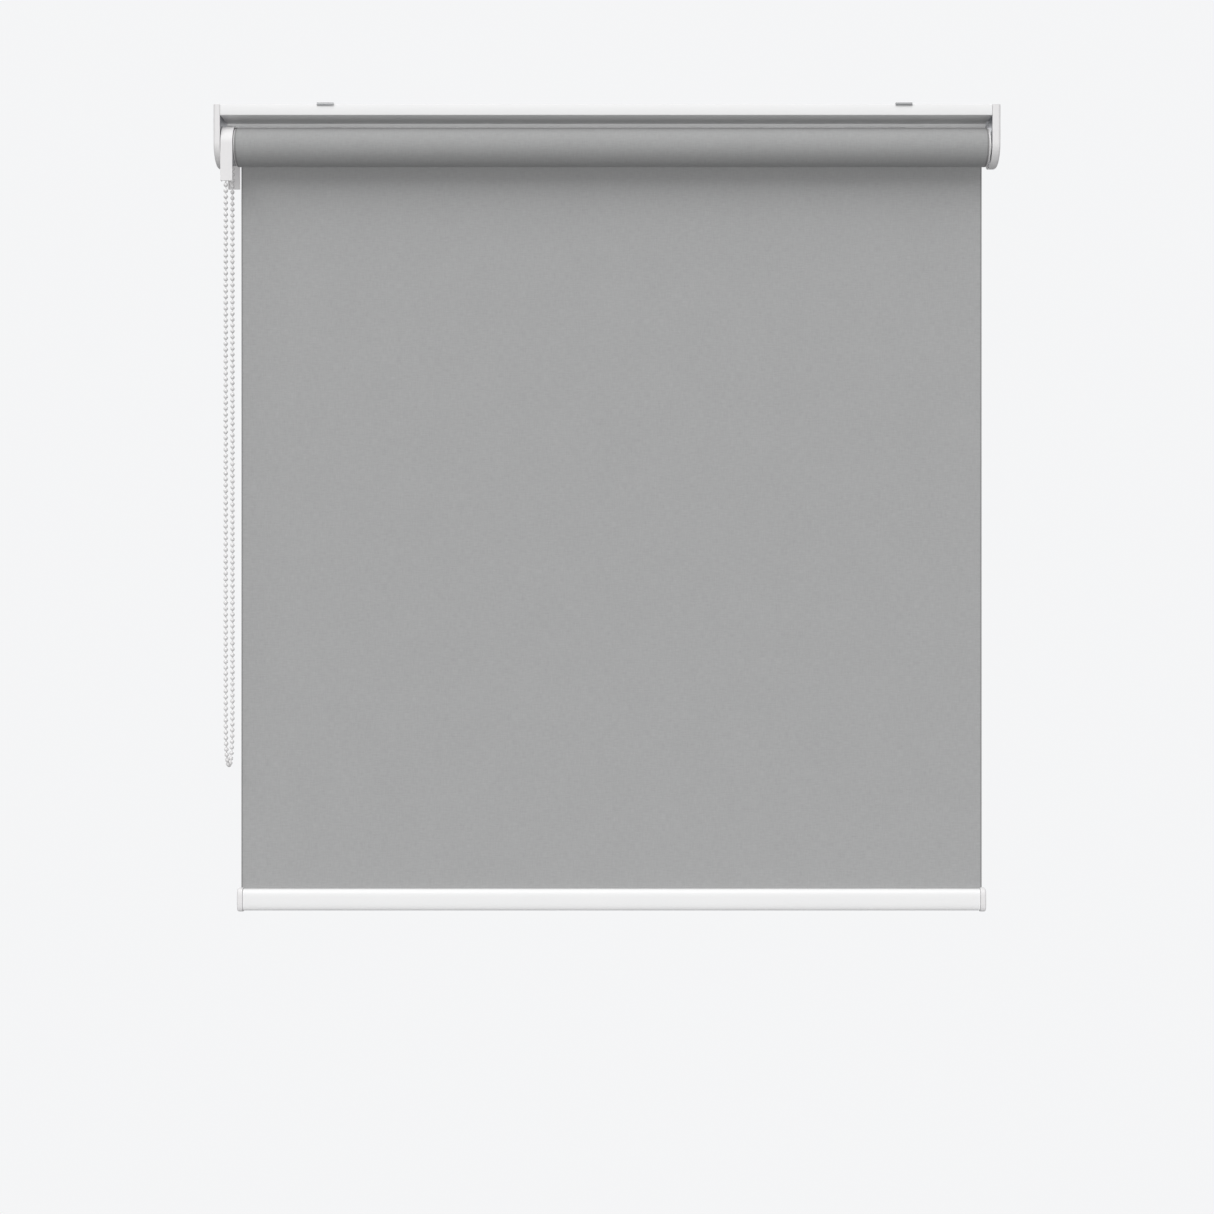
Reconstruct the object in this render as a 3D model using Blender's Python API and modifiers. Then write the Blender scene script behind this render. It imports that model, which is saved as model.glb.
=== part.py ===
"""Roller blind with a bead chain, hung under a ceiling or the head of a window recess.

The frame: +Z up, -Y towards the room, +X to the right as seen from the room. The origin is
in the middle of the blind's width, on the ceiling plane that the two mounting clips touch,
straight above the roll's axis. All sizes are in metres.
"""

import math

import bmesh
import bpy

# Overall sizes
BLIND_WIDTH = 0.800  # over both bracket covers
BAR_DROP = 0.775  # roll's axis down to the middle of the bottom bar
GAP = 0.0003  # between pieces that touch
CUT = 0.001  # a cutter reaches this far past the face it opens
LAP = 0.0005  # shapes that are joined run this far into each other
CHAMFER = 0.0005  # on the small edges of turned pieces

# Head rail, an open extruded section
RAIL_HEIGHT = 0.0112
RAIL_DEPTH = 0.049
RAIL_WALL = 0.0014
RAIL_EDGE = 0.0005  # rounding of the two long front edges
VALLEY_MIDDLE = 0.002  # y of the groove in the rail's top that takes the screw heads
VALLEY_WIDTH = 0.014
VALLEY_DEPTH = 0.0035
RIB_PLACE = 0.014  # y of the rib under the rail
RIB_DROP = 0.0022
UNDER_SLOT = 0.009  # slot behind the rib
LIP_DROP = 0.0010  # back lip below the rest of the underside

# Mounting clips, bent from sheet
CLIP_SHEET = 0.0012
CLIP_BEND = 0.0007  # corner taken off each bend at the ceiling
CLIP_WIDTH = 0.017
CLIP_HOOK = 0.0031  # height of the front hook
CLIP_TOE = 0.0033
CLIP_TAB = 0.0045
CLIP_HOLE_RADIUS = 0.00225
CLIP_INSET_LEFT = 0.114  # blind's left end to the middle of the left clip
CLIP_INSET_RIGHT = 0.0985

# End brackets: a steel plate with a tongue in the rail, under a moulded cover
COVER_WALL = 0.0016
COVER_EDGE = 0.0030  # rounding of the cover's outer edge
BRACKET_MARGIN = 0.001  # bracket's outline beyond the chain guard's
BRACKET_FLARE_LOW = 0.009  # above the axis, where the back edge starts to widen
PLATE_THICKNESS = 0.0020
PLATE_RECESS_LEFT = GAP  # cover's rim out to the plate's inner face
PLATE_RECESS_RIGHT = 0.0020
TONGUE_LENGTH = 0.022
TONGUE_THICKNESS = 0.0020
TONGUE_FRONT = -0.015
TONGUE_BACK = 0.010
RAIL_SCREW_INSET = 0.011  # rail's end to the screw that holds the tongue
COVER_SCREW_PLACES = {"front": -0.014, "rear": 0.017}
COVER_SCREW_RISE = 0.0245  # above the axis
BOSS_WALL = 0.0012

# Screws
COUNTERSUNK_RADIUS = 0.0027
COUNTERSUNK_DEPTH = 0.0013
COUNTERSUNK_RECESS = 0.0001  # head's face below the plate's
SMALL_SHANK_RADIUS = 0.0014
SMALL_TIP_PLAY = 0.0007  # tip to the cover's wall
PAN_RADIUS = 0.0035
PAN_CROWN_RADIUS = 0.00245
PAN_HEIGHT = 0.0021
PAN_CROWN_HEIGHT = 0.00084
RAIL_SHANK_RADIUS = 0.0015
HUB_SCREW_RADIUS = 0.0060
HUB_SCREW_HEAD = 0.0021
HUB_SCREW_HEAD_PLAY = 0.0005  # head to the cover's wall
HUB_SCREW_REACH = 0.014
HUB_SCREW_TIP_PLAY = 0.003
DRIVE_SLOT_WIDTH = 0.0008
DRIVE_SLOT_DEPTH = 0.0008
DRIVE_SLOT_SHARE = 0.6  # a slot's half length, as a share of the head's radius

# Chain drive
BEAD_DIAMETER = 0.0045
CHAIN_PITCH_RADIUS = 0.0172
BEAD_HEADROOM = 0.00035  # bead to the inside of the guard
GUARD_WIDTH = 0.0122
GUARD_WALL = 0.0012
GUARD_DROP = 0.0385  # axis down to the ends of the guard's arms
GUARD_EDGE = 0.0004
GUARD_TO_RAIL = 0.0067
CHEEK_DROP = 0.024
CHEEK_LEG = 0.0028
WHEEL_POCKETS = 18
WHEEL_FLANGE = 0.00085  # thinner one, on the guard's side
WHEEL_RIM = 0.0014  # flanges stand this far past the beads' middles
GROOVE_CLEARANCE = 0.0003
POCKET_CLEARANCE = 0.00065
NOSE_SHOULDER = 0.0015
NOSE_LENGTH = 0.009
HUB_RADIUS = 0.0055
HUB_GROOVE = 0.001
SPIGOT_SIDE = 0.0070
HUB_BORE_RADIUS = 0.0018
HUB_NECK = 0.0012  # hub's end beyond the retaining clip
RETAINER_PLAY = 0.0002
RETAINER_THICKNESS = 0.0008
RETAINER_RING = 0.0025
SPRING_WIRE = 0.0010
SPRING_PITCH = 0.0014
SPRING_TURNS = 5
SPRING_SPACING = 0.0115
SPRING_MARGIN = 0.002
TANG_RISE = 0.0008  # spring's bent end past the finger's inner side
FINGER_PLAY = 0.0009  # spring to the finger
FINGER_THICKNESS = 0.0013
FINGER_END_PLAY = 0.0015
FINGER_SPAN = 60
CHAMBER_PLAY = 0.0005
RIB_SPAN = 40

# Roller
TUBE_RADIUS = 0.0175
TUBE_WALL = 0.0012
KEYWAY_WIDTH = 0.0040
KEYWAY_DEPTH = 0.0018
STRIP_INSET = 0.001
STRIP_RECESS = 0.0001
CLOTH_THICKNESS = 0.0005
CLOTH_TURNS = 4
CLOTH_END_GAP = 0.0015  # guard to the cloth's edge
FLANGE_STEP = 0.0005  # flanges below the roll's surface
FLANGE_THIN = 0.0009  # drive sleeve's flange
FLANGE_THICK = 0.0020  # idle plug's flange
FLANGE_TO_COVER = 0.0006
SLEEVE_LENGTH = 0.0425
SLEEVE_END_WALL = 0.008
PLUG_LENGTH = 0.041
PLUG_END_WALL = 0.003

# Idle pin and its socket
PIN_RADIUS = 0.0030
PIN_CHAMFER = 0.0008
PIN_TRAVEL = 0.006
PIN_GRIP = 0.0034  # length of the pin inside the socket
BUSH_RADIUS = 0.0050
BUSH_LENGTH = 0.0053
PIN_SPRING_WIRE = 0.0006
PIN_SPRING_PRESSED = 0.0044  # spring's length when the pin is pushed in
PIN_SPRING_TURNS = 5
SOCKET_FLANGE_RADIUS = 0.0090
SOCKET_FLANGE = 0.0016
SOCKET_RADIUS = 0.0057
SOCKET_PLAY = 0.0008  # socket's end to the cover's wall
SOCKET_FLOOR = 0.0011

# Bottom bar
BAR_HEIGHT = 0.0226
BAR_DEPTH = 0.0140
BAR_WALL = 0.0013
BAR_FLATNESS = 3.6  # 2 would be a plain ellipse; higher is flatter in the middle
BAR_INSET = 0.0025  # cloth's edge in to the bar's end
CAP_THICKNESS = 0.0057
CAP_PROUD = 0.0010
CAP_EDGE = 0.0020
CAP_TONGUE = 0.014
SPLINE_RADIUS = 0.0018
SPLINE_INSET = 0.001
CHAMBER_COVER = 0.0024  # metal above the round chamber
SLOT_PLAY = 0.0017
WEB_THICKNESS = 0.0017

# Chain loop: (y, z below the roll's axis) along the loop, front strand first
CHAIN_ROUTE = [
    (-0.0172, 0.0368), (-0.0172, 0.050), (-0.0172, 0.085), (-0.0173, 0.135),
    (-0.0174, 0.195), (-0.0175, 0.260), (-0.0175, 0.330), (-0.0175, 0.400),
    (-0.0175, 0.465), (-0.0174, 0.525), (-0.0173, 0.570), (-0.0168, 0.597),
    (-0.0150, 0.613), (-0.0110, 0.6255), (-0.0058, 0.6322), (0.0000, 0.6340),
    (0.0058, 0.6322), (0.0110, 0.6255), (0.0150, 0.613), (0.0168, 0.597),
    (0.0173, 0.570), (0.0174, 0.525), (0.0175, 0.465), (0.0175, 0.400),
    (0.0175, 0.330), (0.0175, 0.260), (0.0174, 0.195), (0.0173, 0.135),
    (0.0172, 0.085), (0.0172, 0.050), (0.0172, 0.0368),
]  # fmt: skip
CHAIN_STEPS = 2  # points of the modelled chain for each stretch of the route

# How finely round shapes are divided
ROUND = 48
SMALL_ROUND = 24

# Sizes that follow from the ones above
GUARD_RADIUS = CHAIN_PITCH_RADIUS + BEAD_DIAMETER / 2 + BEAD_HEADROOM + GUARD_WALL
BRACKET_RADIUS = GUARD_RADIUS + BRACKET_MARGIN
RAIL_FRONT = BRACKET_RADIUS
CHAIN_GROOVE = BEAD_DIAMETER / 2 + GROOVE_CLEARANCE
CHAIN_PLACE = GUARD_WALL + GAP + WHEEL_FLANGE + CHAIN_GROOVE
COVER_ROOM = HUB_SCREW_HEAD_PLAY + HUB_SCREW_HEAD + GAP  # behind a bracket's plate
COVER_THICKNESS_LEFT = COVER_WALL + COVER_ROOM + PLATE_THICKNESS + PLATE_RECESS_LEFT
COVER_THICKNESS_RIGHT = COVER_WALL + COVER_ROOM + PLATE_THICKNESS + PLATE_RECESS_RIGHT
COVER_SCREW_LENGTH = PLATE_THICKNESS + COVER_ROOM - SMALL_TIP_PLAY
SOCKET_REACH = PLATE_THICKNESS + COVER_ROOM - SOCKET_PLAY
FINGER_INNER = HUB_RADIUS + GAP + SPRING_WIRE + FINGER_PLAY
FINGER_OUTER = FINGER_INNER + FINGER_THICKNESS
CHAMBER_RADIUS = FINGER_OUTER + CHAMBER_PLAY
NOSE_RADIUS = CHAMBER_RADIUS + NOSE_SHOULDER
RETAINER_RADIUS = HUB_RADIUS + RETAINER_RING
PIN_SPRING_LENGTH = PIN_TRAVEL + PIN_SPRING_PRESSED
ROLL_RADIUS = TUBE_RADIUS + CLOTH_TURNS * CLOTH_THICKNESS
FLANGE_RADIUS = ROLL_RADIUS - FLANGE_STEP
SPLINE_CHAMBER = SPLINE_RADIUS + 2 * GAP
SPLINE_RISE = BAR_HEIGHT / 2 - CHAMBER_COVER - SPLINE_CHAMBER
HOLLOW_TOP = SPLINE_RISE - SPLINE_CHAMBER - WEB_THICKNESS
BAR_SLOT = CLOTH_THICKNESS + SLOT_PLAY

# Levels and places
AXIS_Z = -(CLIP_SHEET + GAP + RAIL_HEIGHT + GUARD_TO_RAIL + GUARD_RADIUS)
RAIL_TOP = -(CLIP_SHEET + GAP)
RAIL_UNDER = RAIL_TOP - RAIL_HEIGHT
LIP_UNDER = RAIL_UNDER - LIP_DROP
RAIL_BACK = RAIL_DEPTH - RAIL_FRONT
VALLEY_FLOOR = RAIL_TOP - VALLEY_DEPTH
LEFT_END = -BLIND_WIDTH / 2
RIGHT_END = BLIND_WIDTH / 2
LEFT_RIM = LEFT_END + COVER_THICKNESS_LEFT
RIGHT_RIM = RIGHT_END - COVER_THICKNESS_RIGHT
RAIL_LEFT = LEFT_RIM + GAP
RAIL_RIGHT = RIGHT_RIM - GAP
LEFT_PLATE_FACE = LEFT_RIM - PLATE_RECESS_LEFT
RIGHT_PLATE_FACE = RIGHT_RIM + PLATE_RECESS_RIGHT
GUARD_LEFT = LEFT_RIM + GAP
GUARD_RIGHT = GUARD_LEFT + GUARD_WIDTH
CHAIN_X = GUARD_LEFT + CHAIN_PLACE
CLOTH_LEFT = GUARD_RIGHT + CLOTH_END_GAP
PLUG_FACE = RIGHT_RIM - FLANGE_TO_COVER
CLOTH_RIGHT = PLUG_FACE - FLANGE_THICK - GAP
TUBE_BORE = TUBE_RADIUS - TUBE_WALL
KEYWAY_FLOOR = TUBE_RADIUS - KEYWAY_DEPTH
BULGE_WIDTH = KEYWAY_WIDTH + 2 * TUBE_WALL
BULGE_TOP = KEYWAY_FLOOR - TUBE_WALL
CLOTH_FRONT = ROLL_RADIUS + GAP  # y of the hanging cloth's front face
BAR_Y = CLOTH_FRONT + CLOTH_THICKNESS / 2
BAR_Z = AXIS_Z - BAR_DROP
BAR_LEFT = CLOTH_LEFT + BAR_INSET
BAR_RIGHT = CLOTH_RIGHT - BAR_INSET
CLOTH_FOOT = BAR_Z + SPLINE_RISE + SPLINE_RADIUS + GAP
HUB_LEFT = GUARD_LEFT + GUARD_WALL + GAP
HUB_CLEAR = HUB_RADIUS + GAP
SLEEVE_RIGHT = CLOTH_LEFT + SLEEVE_LENGTH
SLEEVE_WALL_LEFT = SLEEVE_RIGHT - SLEEVE_END_WALL
RETAINER_LEFT = SLEEVE_RIGHT + GAP
HUB_RIGHT = RETAINER_LEFT + RETAINER_THICKNESS + HUB_NECK
WHEEL_RIGHT = GUARD_RIGHT - GAP
NOSE_END = WHEEL_RIGHT + NOSE_LENGTH
SPRINGS_LEFT = NOSE_END + SPRING_MARGIN
PLUG_LEFT = PLUG_FACE - FLANGE_THICK - PLUG_LENGTH
BORE_FLOOR = PLUG_LEFT + PLUG_END_WALL
PIN_TIP = RIGHT_PLATE_FACE - GAP - SOCKET_FLANGE + PIN_GRIP
PIN_TAIL = BORE_FLOOR + PIN_SPRING_LENGTH + 2 * GAP
RAIL_SCREW_PLACES = {
    "left": RAIL_LEFT + RAIL_SCREW_INSET,
    "right": RAIL_RIGHT - RAIL_SCREW_INSET,
}


# --- Shapes -------------------------------------------------------------------------------


def arc(radius, start, end, steps, middle=(0.0, 0.0)):
    """Points along an arc, from one angle to the other in degrees, both ends included."""
    angles = [math.radians(start + (end - start) * i / steps) for i in range(steps + 1)]
    return [
        (middle[0] + radius * math.cos(a), middle[1] + radius * math.sin(a)) for a in angles
    ]


def circle(radius, steps=ROUND, middle=(0.0, 0.0)):
    return arc(radius, 0, 360, steps, middle)[:-1]


def flat_oval(half_depth, half_height, start, end, steps):
    """Points along the bar's flattened ellipse, between two angles of the circle behind it."""
    power = 2 / BAR_FLATNESS
    return [
        (
            half_depth * math.copysign(abs(y) ** power, y),
            half_height * math.copysign(abs(z) ** power, z),
        )
        for y, z in arc(1.0, start, end, steps)
    ]


def flat_oval_angle(share):
    """Angle above the middle at which a flattened ellipse reaches a share of its height."""
    return math.degrees(math.asin(share ** (BAR_FLATNESS / 2)))


def sector(inner, outer, middle_angle, span, steps=6):
    """Outline of a piece of a ring."""
    start, end = middle_angle - span / 2, middle_angle + span / 2
    return arc(outer, start, end, steps) + arc(inner, end, start, steps)


def new_collection(name):
    found = bpy.data.collections.new(name)
    bpy.context.scene.collection.children.link(found)
    return found


def new_material(name, colour, roughness, metallic=0.0):
    made = bpy.data.materials.new(name)
    made.use_nodes = True
    shader = made.node_tree.nodes["Principled BSDF"]
    shader.inputs["Base Color"].default_value = (*colour, 1.0)
    shader.inputs["Roughness"].default_value = roughness
    shader.inputs["Metallic"].default_value = metallic
    return made


def as_piece(draft, smooth=True):
    """Turns a draft object into a clean mesh object of the same name and place."""
    bpy.context.view_layer.update()
    graph = bpy.context.evaluated_depsgraph_get()
    mesh = bpy.data.meshes.new_from_object(draft.evaluated_get(graph))
    name, place = draft.name, draft.matrix_world.copy()
    bpy.data.objects.remove(draft)
    tidy = bmesh.new()
    tidy.from_mesh(mesh)
    bmesh.ops.remove_doubles(tidy, verts=tidy.verts, dist=1e-6)
    bmesh.ops.dissolve_limit(
        tidy, angle_limit=math.radians(0.05), verts=tidy.verts, edges=tidy.edges
    )
    bmesh.ops.recalc_face_normals(tidy, faces=tidy.faces)
    tidy.to_mesh(mesh)
    tidy.free()
    if smooth:
        mesh.shade_smooth()
        mesh.set_sharp_from_angle(angle=math.radians(32))
    mesh.name = name
    piece = bpy.data.objects.new(name, mesh)
    piece.matrix_world = place
    bpy.context.scene.collection.objects.link(piece)
    return piece


def extruded(name, outlines, x_low, x_high, y=0.0, z=AXIS_Z):
    """A flat outline in (y, z) about the given centre, drawn out along X. Inner outlines are
    holes."""
    curve = bpy.data.curves.new(name, "CURVE")
    curve.dimensions = "2D"
    curve.fill_mode = "BOTH"
    curve.extrude = (x_high - x_low) / 2
    for outline in outlines:
        spline = curve.splines.new("POLY")
        spline.points.add(len(outline) - 1)
        for point, (across, up) in zip(spline.points, outline):
            point.co = (across, up, 0.0, 1.0)
        spline.use_cyclic_u = True
    draft = bpy.data.objects.new(name, curve)
    draft.rotation_euler = (math.pi / 2, 0.0, math.pi / 2)
    draft.location = ((x_low + x_high) / 2, y, z)
    bpy.context.scene.collection.objects.link(draft)
    return as_piece(draft)


def turned(name, profile, y=0.0, z=AXIS_Z, steps=ROUND):
    """A profile of (x, radius) points turned about a line along X. A profile that starts and
    ends on the line makes a full solid, and any other one is closed into a ring."""
    middle = sum(x for x, _ in profile) / len(profile)
    edges = [(i, i + 1) for i in range(len(profile) - 1)]
    if profile[0][1] > 0:
        edges.append((len(profile) - 1, 0))
    mesh = bpy.data.meshes.new(name)
    mesh.from_pydata([(radius, 0.0, x - middle) for x, radius in profile], edges, [])
    draft = bpy.data.objects.new(name, mesh)
    draft.rotation_euler = (0.0, math.pi / 2, 0.0)
    draft.location = (middle, y, z)
    screw = draft.modifiers.new("turn", "SCREW")
    screw.steps = steps
    screw.render_steps = steps
    screw.use_merge_vertices = True
    screw.merge_threshold = 1e-6
    bpy.context.scene.collection.objects.link(draft)
    return as_piece(draft)


def box(name, low, high):
    """A box from its lowest to its highest corner."""
    mesh = bpy.data.meshes.new(name)
    shape = bmesh.new()
    bmesh.ops.create_cube(shape, size=1.0)
    size = [b - a for a, b in zip(low, high)]
    bmesh.ops.scale(shape, vec=size, verts=shape.verts)
    shape.to_mesh(mesh)
    shape.free()
    piece = bpy.data.objects.new(name, mesh)
    piece.location = [(a + b) / 2 for a, b in zip(low, high)]
    bpy.context.scene.collection.objects.link(piece)
    return piece


def wire(name, points, radius):
    """A round bar along a list of points."""
    curve = bpy.data.curves.new(name, "CURVE")
    curve.dimensions = "3D"
    curve.bevel_depth = radius
    curve.bevel_resolution = 2
    curve.use_fill_caps = True
    spline = curve.splines.new("POLY")
    spline.points.add(len(points) - 1)
    for point, place in zip(spline.points, points):
        point.co = (*place, 1.0)
    spline.use_smooth = True
    piece = bpy.data.objects.new(name, curve)
    bpy.context.scene.collection.objects.link(piece)
    return piece


def smooth_route(route, steps):
    """Points on the smooth curve through a route's points, the same number in each stretch."""
    ends = [route[0], *route, route[-1]]
    points = []
    for before, here, there, after in zip(ends, ends[1:], ends[2:], ends[3:]):
        for step in range(steps):
            t = step / steps
            points.append(tuple(
                0.5 * (
                    2 * b
                    + (c - a) * t
                    + (2 * a - 5 * b + 4 * c - d) * t * t
                    + (3 * b - a - 3 * c + d) * t**3
                )
                for a, b, c, d in zip(before, here, there, after)
            ))  # fmt: skip
    return [*points, route[-1]]


# --- Joining and cutting ------------------------------------------------------------------


def shape_with(piece, tool, operation):
    """Cuts a tool out of a piece, or joins it on. The tool stays as a hidden helper."""
    modifier = piece.modifiers.new(tool.name, "BOOLEAN")
    modifier.operation = operation
    modifier.solver = "EXACT"
    modifier.object = tool
    for linked in list(tool.users_collection):
        linked.objects.unlink(tool)
    CUTTERS.objects.link(tool)
    tool.hide_render = True
    tool.display_type = "WIRE"


def cut(piece, tool):
    shape_with(piece, tool, "DIFFERENCE")


def join(piece, tool):
    shape_with(piece, tool, "UNION")


def round_edges(piece, chosen, width, segments):
    """Rounds the edges of a mesh that the test chooses, given both ends in world space."""
    shape = bmesh.new()
    shape.from_mesh(piece.data)
    place = piece.matrix_world
    edges = [
        edge for edge in shape.edges if chosen(*(place @ vert.co for vert in edge.verts))
    ]
    bmesh.ops.bevel(
        shape, geom=edges, offset=width, segments=segments, profile=0.5, affect="EDGES"
    )
    shape.to_mesh(piece.data)
    shape.free()
    piece.data.shade_smooth()
    piece.data.set_sharp_from_angle(angle=math.radians(32))


def keep(piece, material, parent):
    """Puts a finished piece in the blind's collection, under the empty that carries it."""
    if piece.data.materials:
        piece.data.materials.clear()
    piece.data.materials.append(material)
    for linked in list(piece.users_collection):
        linked.objects.unlink(piece)
    BLIND.objects.link(piece)
    bpy.context.view_layer.update()
    place = piece.matrix_world.copy()
    piece.parent = parent
    piece.matrix_parent_inverse = parent.matrix_world.inverted()
    piece.matrix_world = place
    return piece


def frame_empty(name, location):
    empty = bpy.data.objects.new(name, None)
    empty.location = location
    empty.empty_display_size = 0.03
    BLIND.objects.link(empty)
    bpy.context.view_layer.update()
    return empty


# --- Head rail and clips ------------------------------------------------------------------


def make_head_rail():
    wall = RAIL_WALL
    front, back = -RAIL_FRONT, RAIL_BACK
    valley_front = VALLEY_MIDDLE - VALLEY_WIDTH / 2
    valley_back = VALLEY_MIDDLE + VALLEY_WIDTH / 2
    slot_front = RIB_PLACE + wall
    slot_back = slot_front + UNDER_SLOT
    edge = RAIL_EDGE
    outline = [
        *arc(edge, 270, 180, 3, (front + edge, RAIL_UNDER + edge)),
        *arc(edge, 180, 90, 3, (front + edge, RAIL_TOP - edge)),
        (valley_front, RAIL_TOP), (valley_front, VALLEY_FLOOR),
        (valley_back, VALLEY_FLOOR), (valley_back, RAIL_TOP),
        (back, RAIL_TOP), (back, LIP_UNDER),
        (slot_back, LIP_UNDER), (slot_back, LIP_UNDER + wall),
        (back - wall, LIP_UNDER + wall), (back - wall, RAIL_TOP - wall),
        (valley_back + wall, RAIL_TOP - wall), (valley_back + wall, VALLEY_FLOOR - wall),
        (valley_front - wall, VALLEY_FLOOR - wall), (valley_front - wall, RAIL_TOP - wall),
        (front + wall, RAIL_TOP - wall), (front + wall, RAIL_UNDER + wall),
        (slot_front, RAIL_UNDER + wall), (slot_front, RAIL_UNDER - RIB_DROP),
        (RIB_PLACE, RAIL_UNDER - RIB_DROP), (RIB_PLACE, RAIL_UNDER),
    ]  # fmt: skip
    rail = extruded("head_rail", [outline], RAIL_LEFT, RAIL_RIGHT, z=0.0)
    for side, x in RAIL_SCREW_PLACES.items():
        hole = turned_upright(
            f"rail_screw_hole_{side}",
            [(VALLEY_FLOOR + CUT, 0.0), (VALLEY_FLOOR + CUT, RAIL_SHANK_RADIUS + GAP),
             (VALLEY_FLOOR - RAIL_WALL - CUT, RAIL_SHANK_RADIUS + GAP),
             (VALLEY_FLOOR - RAIL_WALL - CUT, 0.0)],
            x,
        )  # fmt: skip
        cut(rail, hole)
    return keep(rail, WHITE_METAL, CEILING)


def turned_upright(name, profile, x, y=VALLEY_MIDDLE):
    """A profile of (z, radius) points turned about an upright line."""
    piece = turned(name, [(-z, radius) for z, radius in profile], z=0.0, steps=SMALL_ROUND)
    place = piece.location.x
    piece.rotation_euler = (0.0, math.pi, 0.0)
    piece.location = (x, y, -place)
    bpy.context.view_layer.update()
    return piece


def make_mounting_clip(side, x):
    sheet = CLIP_SHEET
    front = -RAIL_FRONT - GAP
    back = RAIL_BACK + GAP
    under = LIP_UNDER - GAP
    outline = [
        (front - sheet, -CLIP_HOOK), (front, -CLIP_HOOK), (front, -sheet), (back, -sheet),
        (back, under), (back - CLIP_TOE, under), (back - CLIP_TOE, under - sheet),
        (back + CLIP_TAB, under - sheet), (back + CLIP_TAB, under),
        (back + sheet, under), (back + sheet, -CLIP_BEND), (back + sheet - CLIP_BEND, 0.0),
        (front - sheet + CLIP_BEND, 0.0), (front - sheet, -CLIP_BEND),
    ]  # fmt: skip
    name = f"mounting_clip_{side}"
    clip = extruded(name, [outline], x - CLIP_WIDTH / 2, x + CLIP_WIDTH / 2, z=0.0)
    hole = turned_upright(
        f"{name}_hole",
        [(CUT, 0.0), (CUT, CLIP_HOLE_RADIUS),
         (-sheet - CUT, CLIP_HOLE_RADIUS), (-sheet - CUT, 0.0)],
        x,
    )  # fmt: skip
    cut(clip, hole)
    return keep(clip, STEEL, CEILING)


# --- End brackets -------------------------------------------------------------------------


def bracket_outline(inset):
    """The bracket seen from its side, as (y, z) with z from the roll's axis."""
    radius = BRACKET_RADIUS - inset
    top = RAIL_TOP - AXIS_Z - inset
    back = RAIL_BACK - inset
    return [
        *arc(radius, 0, -180, 24),
        (-radius, top),
        (back, top),
        (back, LIP_UNDER - AXIS_Z - inset),
        (radius, BRACKET_FLARE_LOW),
    ]


def span(a, b):
    return min(a, b), max(a, b)


def cover_screw_profile(face, outward, length, spare=0.0):
    """Countersunk screw along X: its head's face at one x, its tip further outwards."""
    head, shank = COUNTERSUNK_RADIUS + spare, SMALL_SHANK_RADIUS + spare
    return [
        (face, head),
        (face + outward * COUNTERSUNK_DEPTH, shank),
        (face + outward * length, shank),
        (face + outward * length, 0.0),
    ]


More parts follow.
